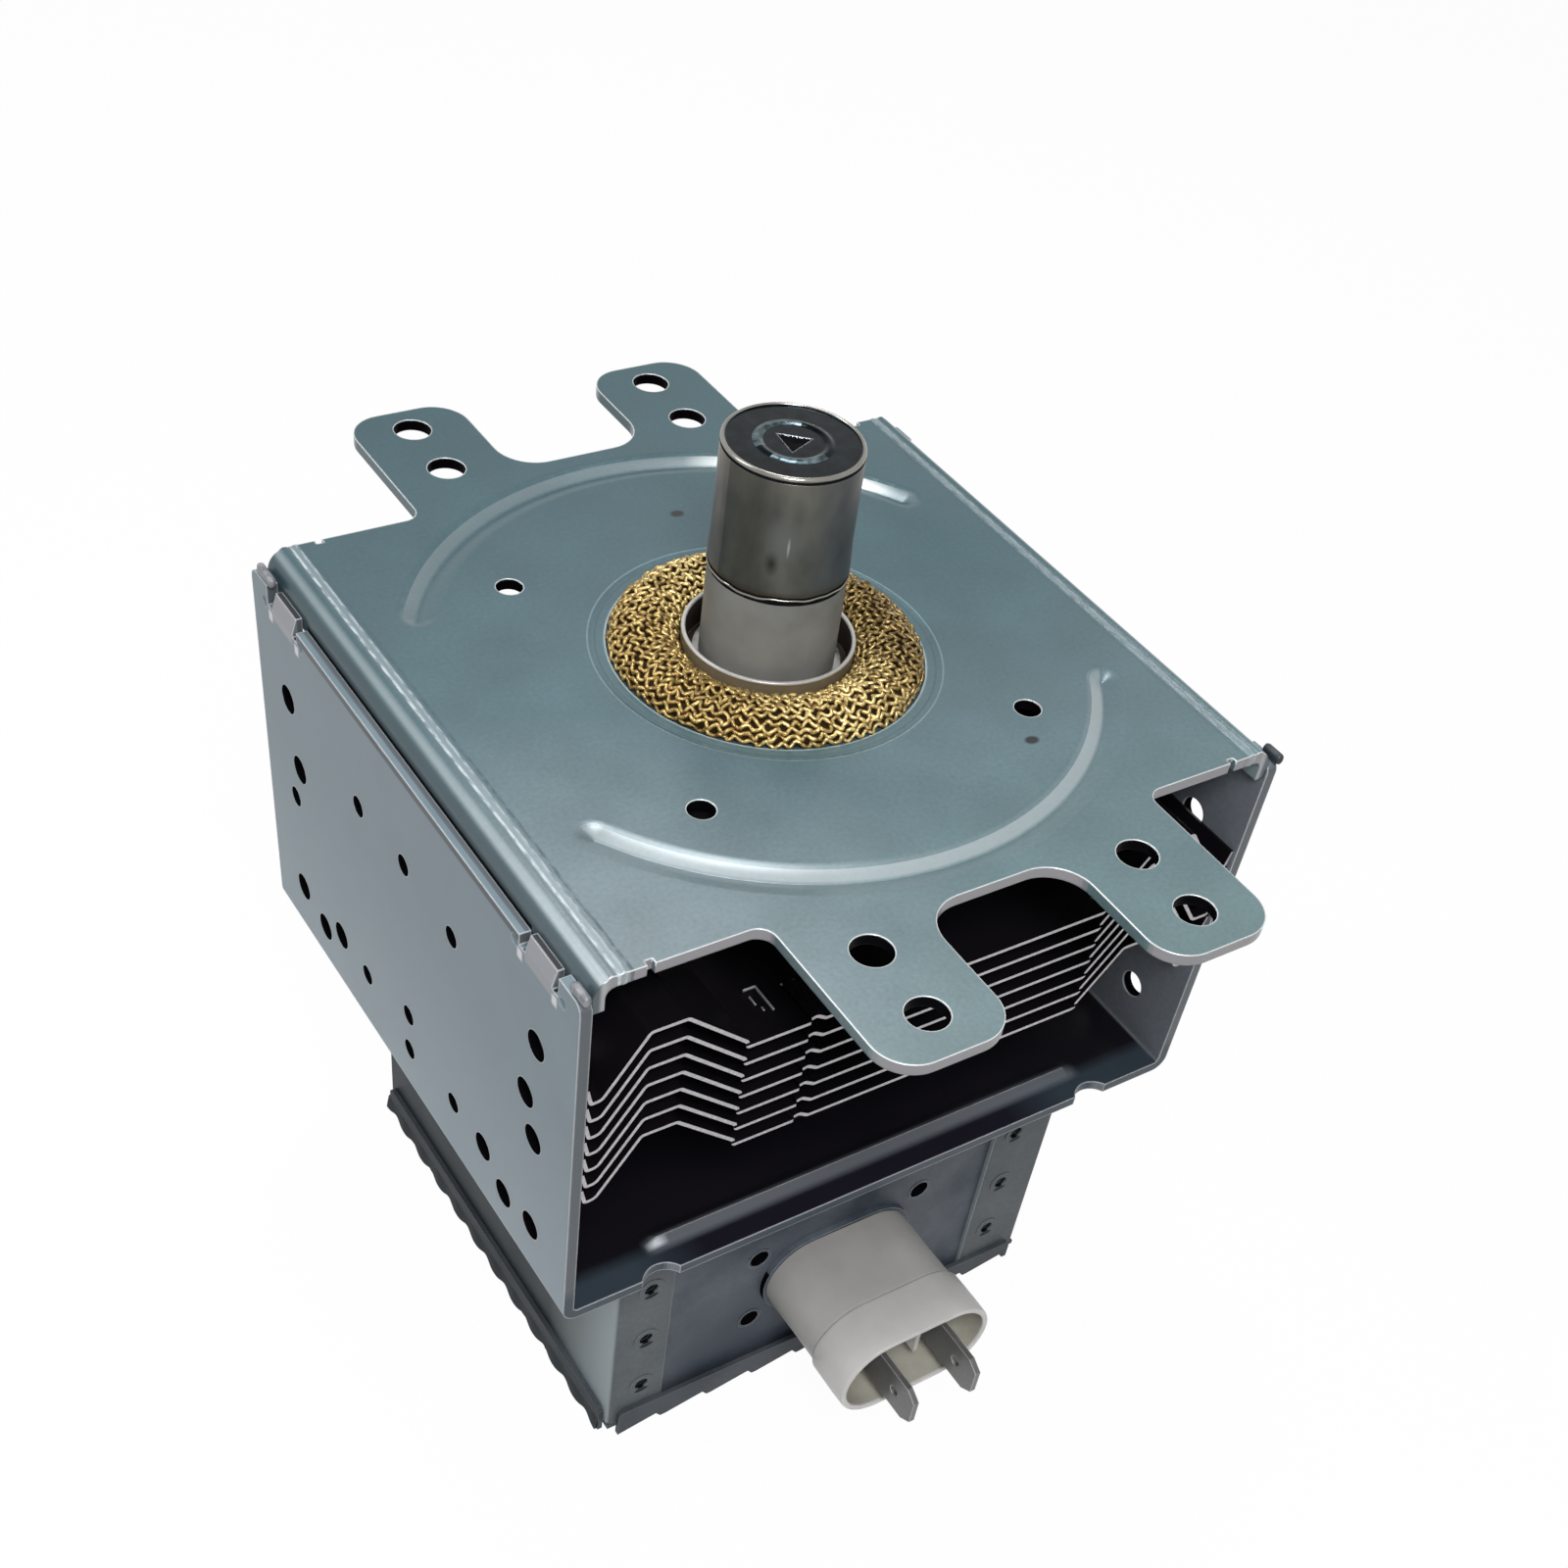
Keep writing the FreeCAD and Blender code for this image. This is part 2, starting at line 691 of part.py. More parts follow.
def cathode_leads():
    z0, z1 = filament_span()
    foot = -lower_neck_end - stem_length
    centre = disc(lead_r, foot, z1)
    side = disc(lead_r, foot, z0 - hat_t, side_lead_x, 0)
    return Part.makeCompound([centre, side])


def stem_ceramic():
    foot = -lower_neck_end - stem_length
    body = disc(stem_r, foot, -lower_neck_end)
    return body.cut([disc(lead_r + slip, foot - 1, -lower_neck_end + 1, x, 0) for x in (0, side_lead_x)])


def stem_terminals():
    top = -lower_neck_end - stem_length
    size, t = stem_terminal_size, stem_terminal_t
    middle = side_lead_x / 2
    left = slab(middle - 0.4 - size, middle - 0.4, -size / 2, size / 2, top - t, top)
    right = slab(middle + 0.4, middle + 0.4 + size, -size / 2, size / 2, top - t, top)
    return Part.makeCompound([left, right])


def fin_half(insets):
    """One half of the fin's folds as (x, height, fold radius), from the flat middle to the hook."""
    flat_x = wall_inner_x - fin_flat_inset
    crest_inner, crest_outer, foot = (wall_inner_x - inset for inset in insets)
    hook_x = wall_inner_x - fin_t / 2 - slip
    hook_top = fin_foot_rise + fin_hook_height
    return [(flat_x, 0, fin_fold_r / 2), (flat_x + 0.2, fin_step, fin_fold_r / 2),
            (crest_inner, fin_rise, fin_fold_r), (crest_outer, fin_rise, fin_fold_r),
            (foot, fin_foot_rise, fin_foot_r), (hook_x - fin_hook_lean, fin_foot_rise, fin_hook_r),
            (hook_x, hook_top, 0)]


def fin_tongue(z, y0, y1):
    """Lanced tongue that stands up from the fin's edge; its outer end is free."""
    inner, outer = -fin_tongue_x + fin_tongue_half_width, -fin_tongue_x - fin_tongue_half_width
    path = [(outer, z + 0.8 * fin_tongue_lift), (-fin_tongue_x - 0.3, z + fin_tongue_lift), (inner, z),
            (inner + 1, z)]
    return folded_strip(path, fin_t, y0, y1, [fin_fold_r] * 2)


def cooling_fin(index):
    z = anode_top - fin_first_drop - index * fin_pitch
    half_depth = fin_depth / 2
    left, right = fin_half(fin_insets_left), fin_half(fin_insets_right)
    path = [(-x, z + h) for x, h, _ in left[::-1]] + [(x, z + h) for x, h, _ in right]
    folds = [r for _, _, r in left[-2::-1]] + [r for _, _, r in right[:-1]]
    fin = folded_strip(path, fin_t, -half_depth, half_depth, folds)
    fin = fin.fuse(disc(anode_outer_r + slip + fin_collar_t, z, z + fin_collar_height))
    tools = [disc(anode_outer_r + slip, z - 5, z + 5)]
    slit_start = half_depth - fin_step_slit
    for side in (-1, 1):
        x = side * (wall_inner_x - fin_flat_inset + 0.1)
        for y0, y1 in ((-half_depth - 1, -slit_start), (slit_start, half_depth + 1)):
            tools.append(slab(x - fin_t, x + fin_t, y0, y1, z + fin_t / 2, z + fin_step - fin_t / 2))
    y1 = -half_depth + fin_tongue_length
    tools.append(slab(-fin_tongue_x - fin_tongue_half_width, -fin_tongue_x + fin_tongue_half_width,
                      -half_depth - 1, y1 + fin_t, z - 1, z + 1))
    return fin.cut(tools).fuse(fin_tongue(z, -half_depth, y1)).removeSplitter()


def ring_magnet(z0):
    return ring(magnet_outer_r, magnet_bore_r, z0, z0 + magnet_t)


def seam_strips():
    """The box's side walls turned over the front panel: inner X edge, outer X edge of each."""
    half = box_width / 2
    return ((-half, -half + seam_left), (half - seam_right, half))


def clinch_spots():
    half = box_width / 2
    spots = []
    for drop in clinch_rows:
        spots.append((-half + clinch_left_inset, box_top - drop))
        spots.append((half - clinch_right_inset, box_top - drop))
    return spots


def filter_box():
    half_x = box_width / 2
    outer = slab(-half_x, half_x, box_front, box_back, box_foot, box_top)
    corners = [V(sx * half_x, y, 0) for sx in (-1, 1) for y in (box_front, box_back)]
    outer = rounded(outer, V(0, 0, 1), corners, box_t)
    inner = slab(-half_x + box_t, half_x - box_t, panel_y, box_back - box_t, box_foot - 1, box_top - box_t)
    box = outer.cut(inner)
    left, right = seam_strips()
    front = slab(left[1], right[0], box_front - 1, panel_y + 0.01, box_foot - 1, box_top - box_t)
    tools = [front, disc(yoke_bore_r, box_top - 5, box_top + 1)]
    tools += [rod_y(clinch_r + slip, box_front - 1, panel_y + 1, x, z) for x, z in clinch_spots()]
    return box.cut(tools)


def filter_front_panel():
    half_x = box_width / 2 - box_t - slip
    panel = slab(-half_x, half_x, panel_y, panel_y + box_t, box_foot, box_top - box_t - slip)
    rim = 2 * (flange_rim + slip)
    y0, y1 = panel_y - 1, panel_y + box_t + 1
    tools = [oval(feed_width + 2 * slip + rim, feed_height + 2 * slip + rim, y0, y1)]
    tools += [rod_y(clinch_r + slip, y0, y1, x, z) for x, z in clinch_spots()]
    tools += [rod_y(eyelet_r + eyelet_wall + slip, y0, y1, x, z) for x, z in eyelets()]
    return panel.cut(tools)


def clinch_rivets():
    rivets = []
    y0 = box_front
    y1 = panel_y + box_t
    for x, z in clinch_spots():
        shank = rod_y(clinch_r, y0, y1, x, z)
        head = rod_y(clinch_head_r, y0 - clinch_head_t, y0, x, z)
        tail = rod_y(clinch_head_r, y1, y1 + clinch_head_t, x, z)
        pit = rod_y(clinch_pit_r, y0 - clinch_head_t - 1, y0 - clinch_head_t + clinch_pit_depth, x, z)
        rivets.append(shank.fuse([head, tail]).cut(pit).removeSplitter())
    return Part.makeCompound(rivets)


def tooth_edge(half_run, foot):
    """Saw-toothed run of cutters under a skirt's lower edge, as a face in the XZ plane."""
    pitch = 2 * half_run / cover_teeth
    points = [V(-half_run, 0, foot - 1)]
    for i in range(cover_teeth):
        start = -half_run + i * pitch
        points += [V(start, 0, foot), V(start + 0.8 * pitch, 0, foot + cover_tooth_depth),
                   V(start + 0.9 * pitch, 0, foot)]
    points += [V(half_run, 0, foot), V(half_run, 0, foot - 1)]
    return Part.Face(Part.makePolygon(points + points[:1]))


def cover_flap(half_run, foot, top, fall):
    """One flap of the cover in the XZ plane: toothed foot, rounded top corners, top edge falling to +X."""
    corners = [V(-half_run, 0, foot), V(half_run, 0, foot), V(half_run, 0, top - fall), V(-half_run, 0, top)]
    flap = Part.Face(Part.makePolygon(corners + corners[:1])).extrude(V(0, box_t, 0))
    flap = rounded(flap, V(0, 1, 0), corners[2:], cover_corner_r)
    teeth = tooth_edge(half_run, foot).extrude(V(0, box_t + 2, 0))
    teeth.translate(V(0, -1, 0))
    return flap.cut(teeth)


def filter_cover():
    """Tray pushed over the foot of the box: a floor and four flaps with open corners and toothed skirts."""
    half_x = box_width / 2 + cover_fit
    front, back = box_front - cover_fit, box_back + cover_fit
    foot = box_foot - cover_skirt
    top = foot + cover_band
    middle, half_y = (front + back) / 2, (back - front) / 2
    tray = slab(-half_x, half_x, front, back, box_foot - box_t, box_foot)
    for quarter in range(4):
        half_run, reach = (half_y, half_x) if quarter % 2 else (half_x, half_y)
        flap = cover_flap(half_run - cover_corner_gap, foot, top, 0 if quarter else cover_front_fall)
        flap.translate(V(0, -reach - box_t, 0))
        flap.rotate(V(0, 0, 0), V(0, 0, 1), 90 * quarter)
        flap.translate(V(0, middle, 0))
        tray = tray.fuse(flap)
    return tray.removeSplitter()


def eyelets():
    return [(sx * eyelet_x, feed_z + sz * eyelet_dz) for sx in (-1, 1) for sz in (-1, 1)]


def feedthrough_flange():
    y0 = panel_y + box_t
    body = slab(-flange_width / 2, flange_width / 2, y0, y0 + flange_t,
                feed_z - flange_height / 2, feed_z + flange_height / 2)
    corners = [V(sx * flange_width / 2, 0, feed_z + sz * flange_height / 2) for sx in (-1, 1) for sz in (-1, 1)]
    body = rounded(body, V(0, 1, 0), corners, 2.5)
    hole_w, hole_h = feed_width + 2 * slip, feed_height + 2 * slip
    rim = oval(hole_w + 2 * flange_rim, hole_h + 2 * flange_rim, panel_y - flange_rim_height, y0)
    tubes = [rod_y(eyelet_r + eyelet_wall, panel_y - 0.1, y0, x, z) for x, z in eyelets()]
    tools = [oval(hole_w, hole_h, panel_y - 5, y0 + 5)]
    tools += [rod_y(eyelet_r, panel_y - 5, y0 + 5, x, z) for x, z in eyelets()]
    return body.fuse([rim] + tubes).cut(tools).removeSplitter()


def blade_slot(x, y0, y1):
    half_w = blade_stem_width / 2 + slip
    half_t = blade_t / 2 + slip
    return slab(x - half_t, x + half_t, y0, y1, feed_z - half_w, feed_z + half_w)


def feedthrough_housing():
    front = panel_y - feed_length
    step_y = panel_y - feed_step_y
    back = panel_y + box_t + flange_t
    body = oval(feed_width, feed_height, step_y, back)
    mouth = oval(feed_width + 2 * feed_step, feed_height + 2 * feed_step, front, step_y)
    lip = oval(feed_width + 2 * feed_lip, feed_height + 2 * feed_lip, back, back + feed_lip_t)
    floor = panel_y - feed_floor
    hollow = oval(feed_width + 2 * feed_step - 2 * feed_wall, feed_height + 2 * feed_step - 2 * feed_wall,
                  front - 1, step_y)
    deep = oval(feed_width - 2 * feed_wall, feed_height - 2 * feed_wall, step_y - 1, floor)
    housing = body.fuse([mouth, lip]).cut([hollow, deep])
    guides = []
    for x in (-blade_spacing / 2, blade_spacing / 2):
        left = x - guide_offset
        guides.append(slab(left - guide_t / 2, left + guide_t / 2, front + guide_reach, floor,
                           feed_z - guide_height / 2, feed_z + guide_height / 2))
    housing = housing.fuse(guides)
    slots = [blade_slot(s * blade_spacing / 2, floor - 1, back + 5) for s in (-1, 1)]
    return housing.cut(slots).removeSplitter()


def case_start():
    return panel_y + box_t + flange_t + feed_lip_t


def feedthrough_inner_case():
    y0 = case_start()
    case = oval(case_width, case_height, y0, y0 + case_length)
    hollow = oval(case_width - 2 * case_wall, case_height - 2 * case_wall, y0 - 1, y0 + case_length - case_wall)
    slots = [blade_slot(s * blade_spacing / 2, y0 - 1, y0 + case_length + 1) for s in (-1, 1)]
    return case.cut([hollow] + slots)


def capacitor_ceramic():
    y0 = case_start()
    block = oval(case_width - 2 * case_wall - 2 * slip, case_height - 2 * case_wall - 2 * slip,
                 y0, y0 + capacitor_length)
    slots = [blade_slot(s * blade_spacing / 2, y0 - 1, y0 + capacitor_length + 1) for s in (-1, 1)]
    return block.cut(slots)


def terminal_tab(side):
    x = side * blade_spacing / 2
    tip = panel_y - feed_length - blade_reach
    shoulder = panel_y - feed_floor
    end = case_start() + case_length + 1.5
    half, stem = blade_width / 2, blade_stem_width / 2
    half_profile = [(tip, half - blade_chamfer_z), (tip + blade_chamfer_y, half), (shoulder, half),
                    (shoulder, stem), (end, stem)]
    outline = [V(x - blade_t / 2, y, feed_z + z) for y, z in half_profile]
    outline += [V(x - blade_t / 2, y, feed_z - z) for y, z in half_profile[::-1]]
    blade = Part.Face(Part.makePolygon(outline + outline[:1])).extrude(V(blade_t, 0, 0))
    return blade.cut(rod_x(blade_hole_r, x - 2, x + 2, tip + blade_hole_y, feed_z))


def choke_coil(side):
    """Close-wound coil on its core, with a lead to the blade and one to the stem terminal."""
    pitch = coil_length / coil_turns
    inner = core_r + slip
    groove = coil_r - 0.9
    points = [(inner, 0)]
    for i in range(coil_turns):
        points += [(groove, i * pitch), (coil_r, (i + 0.5) * pitch)]
    points += [(groove, coil_length), (inner, coil_length)]
    coil = turned(points)
    coil.rotate(V(0, 0, 0), V(1, 0, 0), -90)
    coil.translate(V(side * coil_x, coil_y0, feed_z))
    w = wire_half
    blade_x = side * (blade_spacing / 2 + blade_t / 2)
    wind_x = side * (coil_x - (groove + coil_r) / 2)
    x0, x1 = sorted((blade_x, wind_x))
    front_y = case_start() + case_length + 1.0
    top_z = feed_z + coil_r
    front = slab(x0, x1, front_y - w, front_y + w, feed_z - w, feed_z + w)
    riser = slab(wind_x - w, wind_x + w, front_y - w, coil_y0 + pitch / 2, feed_z - w, feed_z + w)
    stem_z = -lower_neck_end - stem_length - stem_terminal_t
    middle = side_lead_x / 2
    near_x = middle + side * (0.4 + stem_terminal_size / 2)
    x0, x1 = sorted((near_x - side * w, side * coil_x))
    rear_y = stem_terminal_size / 2 - 1.0
    over = slab(x0, x1, rear_y - w, rear_y + w, stem_z - 2 * w, stem_z)
    z0, z1 = sorted((stem_z - 2 * w, top_z - 0.9))
    drop = slab(side * coil_x - w, side * coil_x + w, rear_y - w, rear_y + w, z0, z1)
    return coil.fuse([front, riser, over, drop]).removeSplitter()


def choke_core(side):
    return rod_y(core_r, coil_y0 - core_overhang, coil_y0 + coil_length + core_overhang, side * coil_x, feed_z)


def build():
    z0, z1 = filament_span()
    nodes = {
        "mounting_plate": mounting_plate(),
        "yoke_frame": yoke_frame(),
        "rf_gasket": rf_gasket(),
        "gasket_collar": gasket_collar(),
        "antenna_ceramic": antenna_ceramic(),
        "antenna_seal_cup": antenna_seal_cup(),
        "antenna_cap": antenna_cap(),
        "exhaust_tube": exhaust_tube(),
        "antenna_lead": antenna_lead(),
        "upper_magnet": ring_magnet(magnet_top - magnet_t),
        "lower_magnet": ring_magnet(web_top),
        "upper_seal_cup": seal_cup(upper_pole_z, ceramic_foot, 1),
        "lower_seal_cup": seal_cup(lower_pole_z, -lower_neck_end, -1),
        "upper_pole_piece": pole_piece(upper_pole_z, -1),
        "lower_pole_piece": pole_piece(lower_pole_z, 1),
        "anode_cylinder": anode_cylinder(),
        "anode_vanes": anode_vanes(),
        "strap_rings": strap_rings(),
        "cathode_filament": cathode_filament(),
        "cathode_upper_hat": end_hat(z1, 1, 0),
        "cathode_lower_hat": end_hat(z0, -1, lead_r + slip),
        "cathode_leads": cathode_leads(),
        "stem_ceramic": stem_ceramic(),
        "stem_terminals": stem_terminals(),
        "filter_box": filter_box(),
        "filter_front_panel": filter_front_panel(),
        "filter_cover": filter_cover(),
        "clinch_rivets": clinch_rivets(),
        "feedthrough_flange": feedthrough_flange(),
        "feedthrough_housing": feedthrough_housing(),
        "feedthrough_inner_case": feedthrough_inner_case(),
        "capacitor_ceramic": capacitor_ceramic(),
        "terminal_tab_left": terminal_tab(-1),
        "terminal_tab_right": terminal_tab(1),
        "choke_coil_left": choke_coil(-1),
        "choke_coil_right": choke_coil(1),
        "choke_core_left": choke_core(-1),
        "choke_core_right": choke_core(1),
    }
    for index in range(fin_count):
        nodes["cooling_fin_%d" % (index + 1)] = cooling_fin(index)
    return nodes


os.makedirs("parts", exist_ok=True)
for name, shape in build().items():
    shape.exportStep("parts/%s.step" % name)
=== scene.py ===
import math
import random

import bmesh
import bpy
from mathutils import Matrix, Vector


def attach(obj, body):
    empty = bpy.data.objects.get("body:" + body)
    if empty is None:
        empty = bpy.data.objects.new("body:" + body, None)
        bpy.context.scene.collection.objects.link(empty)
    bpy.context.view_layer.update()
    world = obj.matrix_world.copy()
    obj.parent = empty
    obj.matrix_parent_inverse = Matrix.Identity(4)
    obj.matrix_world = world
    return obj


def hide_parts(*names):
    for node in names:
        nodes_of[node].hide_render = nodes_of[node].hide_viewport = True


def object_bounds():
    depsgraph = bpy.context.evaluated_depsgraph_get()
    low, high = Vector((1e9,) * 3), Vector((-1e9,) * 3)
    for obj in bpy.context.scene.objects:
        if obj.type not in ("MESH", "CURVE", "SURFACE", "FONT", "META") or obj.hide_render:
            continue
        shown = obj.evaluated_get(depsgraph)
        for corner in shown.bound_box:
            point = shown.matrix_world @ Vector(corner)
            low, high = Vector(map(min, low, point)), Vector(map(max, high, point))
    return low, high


# Packaged magnetron. Metres, in the CAD frame: antenna up, terminals to -Y.

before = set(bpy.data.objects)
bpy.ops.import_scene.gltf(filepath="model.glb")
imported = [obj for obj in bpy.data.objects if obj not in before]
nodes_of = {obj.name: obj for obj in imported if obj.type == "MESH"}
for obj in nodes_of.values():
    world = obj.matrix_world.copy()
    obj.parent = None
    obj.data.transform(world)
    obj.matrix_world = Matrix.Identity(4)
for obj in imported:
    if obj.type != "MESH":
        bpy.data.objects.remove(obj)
cad_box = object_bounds()
MM = 0.001
random.seed(7)

# Where the photograph was taken from, in the frame's own metres and degrees

VIEW_AZIMUTH = -40.716
VIEW_ELEVATION = 48.093
VIEW_ROLL = 10.669
VIEW_OFFSET = (3.735 * MM, -54.947 * MM, 223.895 * MM)
LENS = 44.78
SENSOR = 36.0
IMAGE_SIZE = 1600
PRINCIPAL_PIXEL = (815.6, 1148.7)


# Node helpers

def new_material(name, color, metallic, roughness, specular=0.5):
    material = bpy.data.materials.new(name)
    material.use_nodes = True
    shader = material.node_tree.nodes["Principled BSDF"]
    shader.inputs["Base Color"].default_value = (*color, 1)
    shader.inputs["Metallic"].default_value = metallic
    shader.inputs["Roughness"].default_value = roughness
    shader.inputs["Specular IOR Level"].default_value = specular
    return material, material.node_tree, shader


def coordinates(tree, stretch=(1, 1, 1)):
    place = tree.nodes.new("ShaderNodeTexCoord")
    mapping = tree.nodes.new("ShaderNodeMapping")
    mapping.inputs["Scale"].default_value = stretch
    tree.links.new(place.outputs["Object"], mapping.inputs["Vector"])
    return mapping.outputs["Vector"]


def noise_value(tree, grain, detail=3.0, stretch=(1, 1, 1)):
    """Noise whose features are about grain metres across."""
    texture = tree.nodes.new("ShaderNodeTexNoise")
    texture.inputs["Scale"].default_value = 1 / grain
    texture.inputs["Detail"].default_value = detail
    tree.links.new(coordinates(tree, stretch), texture.inputs["Vector"])
    return texture.outputs["Fac"]


def ramp_color(tree, value, stops):
    ramp = tree.nodes.new("ShaderNodeValToRGB")
    tree.links.new(value, ramp.inputs["Fac"])
    points = ramp.color_ramp.elements
    while len(points) < len(stops):
        points.new(0.5)
    for point, (place, color) in zip(points, stops):
        point.position = place
        point.color = (*color, 1)
    return ramp.outputs["Color"]


def ramp_number(tree, value, low, high, start=0.3, end=0.7):
    ranged = tree.nodes.new("ShaderNodeMapRange")
    ranged.inputs["From Min"].default_value = start
    ranged.inputs["From Max"].default_value = end
    ranged.inputs["To Min"].default_value = low
    ranged.inputs["To Max"].default_value = high
    tree.links.new(value, ranged.inputs["Value"])
    return ranged.outputs["Result"]


def mixed(tree, factor, first, second, kind="MIX"):
    mix = tree.nodes.new("ShaderNodeMix")
    mix.data_type = "RGBA"
    mix.blend_type = kind
    for socket, value in ((mix.inputs[0], factor), (mix.inputs[6], first), (mix.inputs[7], second)):
        if isinstance(value, bpy.types.NodeSocket):
            tree.links.new(value, socket)
        elif isinstance(value, (int, float)):
            socket.default_value = value
        else:
            socket.default_value = (*value, 1)
    return mix.outputs[2]


def tinted(tree, color, tint):
    return mixed(tree, 1.0, color, tint, "MULTIPLY")


def add_bump(tree, shader, height, depth, strength, base=None):
    bump = tree.nodes.new("ShaderNodeBump")
    bump.inputs["Distance"].default_value = depth
    bump.inputs["Strength"].default_value = strength
    tree.links.new(height, bump.inputs["Height"])
    if base:
        tree.links.new(base, bump.inputs["Normal"])
    tree.links.new(bump.outputs["Normal"], shader.inputs["Normal"])


def round_edges(tree, radius):
    """Normal of the surface with its edges rounded, and a mask that is 1 on those edges."""
    bevel = tree.nodes.new("ShaderNodeBevel")
    bevel.samples = 8
    bevel.inputs["Radius"].default_value = radius
    geometry = tree.nodes.new("ShaderNodeNewGeometry")
    dot = tree.nodes.new("ShaderNodeVectorMath")
    dot.operation = "DOT_PRODUCT"
    tree.links.new(bevel.outputs["Normal"], dot.inputs[0])
    tree.links.new(geometry.outputs["Normal"], dot.inputs[1])
    return bevel.outputs["Normal"], ramp_number(tree, dot.outputs["Value"], 1, 0, 0.84, 0.985)


def math_node(tree, kind, value, other=None):
    node = tree.nodes.new("ShaderNodeMath")
    node.operation = kind
    tree.links.new(value, node.inputs[0])
    if isinstance(other, bpy.types.NodeSocket):
        tree.links.new(other, node.inputs[1])
    elif other is not None:
        node.inputs[1].default_value = other
    return node.outputs[0]


# Measures of the painted point, and masks whose limits are millimetres

def axis_part(tree, vector, axis):
    split = tree.nodes.new("ShaderNodeSeparateXYZ")
    tree.links.new(vector, split.inputs[0])
    return split.outputs["XYZ".index(axis)]


def normal_part(tree, axis):
    """How far the surface faces along the axis: -1 to 1."""
    geometry = tree.nodes.new("ShaderNodeNewGeometry")
    return axis_part(tree, geometry.outputs["True Normal"], axis)


def turned_to(tree, axis, start, end):
    """Rises to 1 as the surface turns to face along the axis, either way; start and end are cosines."""
    return ramp_number(tree, math_node(tree, "ABSOLUTE", normal_part(tree, axis)), 0, 1, start, end)


def turned_off(tree, axis, start, end):
    """Falls to 0 as the surface turns to face along the axis, either way; start and end are cosines."""
    return ramp_number(tree, math_node(tree, "ABSOLUTE", normal_part(tree, axis)), 1, 0, start, end)


def place_part(tree, axis):
    """The point's own coordinate in metres."""
    return axis_part(tree, coordinates(tree), axis)


def away(tree, axis):
    """Distance from the part's middle plane, in metres."""
    return math_node(tree, "ABSOLUTE", place_part(tree, axis))


def radius_out(tree):
    """Distance from the antenna axis, in metres."""
    x, y = place_part(tree, "X"), place_part(tree, "Y")
    return math_node(tree, "SQRT", math_node(tree, "ADD", both(tree, x, x), both(tree, y, y)))


def angle_share(tree):
    """The turn about the antenna axis as 0..1, with 0 at -180 degrees."""
    y, x = place_part(tree, "Y"), place_part(tree, "X")
    turn = math_node(tree, "ARCTAN2", y, x)
    return ramp_number(tree, turn, 0, 1, -math.pi, math.pi)


def both(tree, *masks):
    product = masks[0]
    for mask in masks[1:]:
        product = math_node(tree, "MULTIPLY", product, mask)
    return product


def above(tree, value, low, high):
    """0 up to the low limit, rising to 1 at the high one."""
    return ramp_number(tree, value, 0, 1, low * MM, high * MM)


def below(tree, value, low, high):
    """1 up to the low limit, falling to 0 at the high one."""
    return ramp_number(tree, value, 1, 0, low * MM, high * MM)


def between(tree, value, low, high, soft=0.08):
    """1 between two limits, falling to 0 over soft millimetres outside them."""
    return both(tree, above(tree, value, low - soft, low), below(tree, value, high, high + soft))


def spot(tree, center, size, core=0.35):
    """1 inside the core share of the ellipsoid, falling to 0 at its edge."""
    mapping = tree.nodes.new("ShaderNodeMapping")
    mapping.vector_type = "TEXTURE"
    mapping.inputs["Location"].default_value = [c * MM for c in center]
    mapping.inputs["Scale"].default_value = [s * MM for s in size]
    tree.links.new(coordinates(tree), mapping.inputs["Vector"])
    length = tree.nodes.new("ShaderNodeVectorMath")
    length.operation = "LENGTH"
    tree.links.new(mapping.outputs["Vector"], length.inputs[0])
    return ramp_number(tree, length.outputs["Value"], 1, 0, core, 1)


# Plated sheet

CLOUD_GRAIN = 11 * MM
CLOUD_SPAN = (0.32, 0.68)
SPECK_GRAIN = 0.55 * MM
SPECK_DEPTH = 0.010 * MM
FLECK_STOPS = ((0.25, (0.86, 0.86, 0.86)), (0.75, (1.10, 1.10, 1.10)))
FLECK_SHARE = 0.8
DEEP_BLACK = (0.003, 0.003, 0.004)


class Sheet:
    """Plated sheet: cloudy tone, fine grain and rounded edges painted bright, as wear and as painted
    highlight.
    """

    def __init__(self, name, dark, light, roughness, metallic, specular, edge):
        self.material, self.tree, self.shader = new_material(name, light, metallic, roughness, specular)
        self.specular = specular
        tree = self.tree
        self.cloud = noise_value(tree, CLOUD_GRAIN, 3)
        speck = noise_value(tree, SPECK_GRAIN, 2)
        fleck = ramp_color(tree, speck, FLECK_STOPS)
        self.color = mixed(tree, FLECK_SHARE, self.clouded(dark, light), fleck, "MULTIPLY")
        normal, self.rim = round_edges(tree, edge * MM)
        dullness = ramp_number(tree, self.cloud, roughness - 0.03, roughness + 0.05)
        tree.links.new(dullness, self.shader.inputs["Roughness"])
        add_bump(tree, self.shader, speck, SPECK_DEPTH, 0.4, normal)

    def clouded(self, dark, light):
        return ramp_color(self.tree, self.cloud, tuple(zip(CLOUD_SPAN, (dark, light))))

    def paint(self, mask, color, share=None):
        if share:
            mask = math_node(self.tree, "MULTIPLY", mask, share)
        self.color = mixed(self.tree, mask, self.color, color)

    def blacken(self, mask):
        """Deep shade: neither colour nor gloss is left."""
        self.paint(mask, DEEP_BLACK)
        gloss = ramp_number(self.tree, mask, self.specular, 0, 0, 1)
        self.tree.links.new(gloss, self.shader.inputs["Specular IOR Level"])

    def finish(self, wear_and_highlight, share=0.85, where=None):
        """Paint the edges bright, as wear and as painted highlight, everywhere or only under the mask, and
        return the material.
        """
        rim = both(self.tree, self.rim, where) if where else self.rim
        self.paint(rim, wear_and_highlight, share)
        self.tree.links.new(self.color, self.shader.inputs["Base Color"])
        return self.material
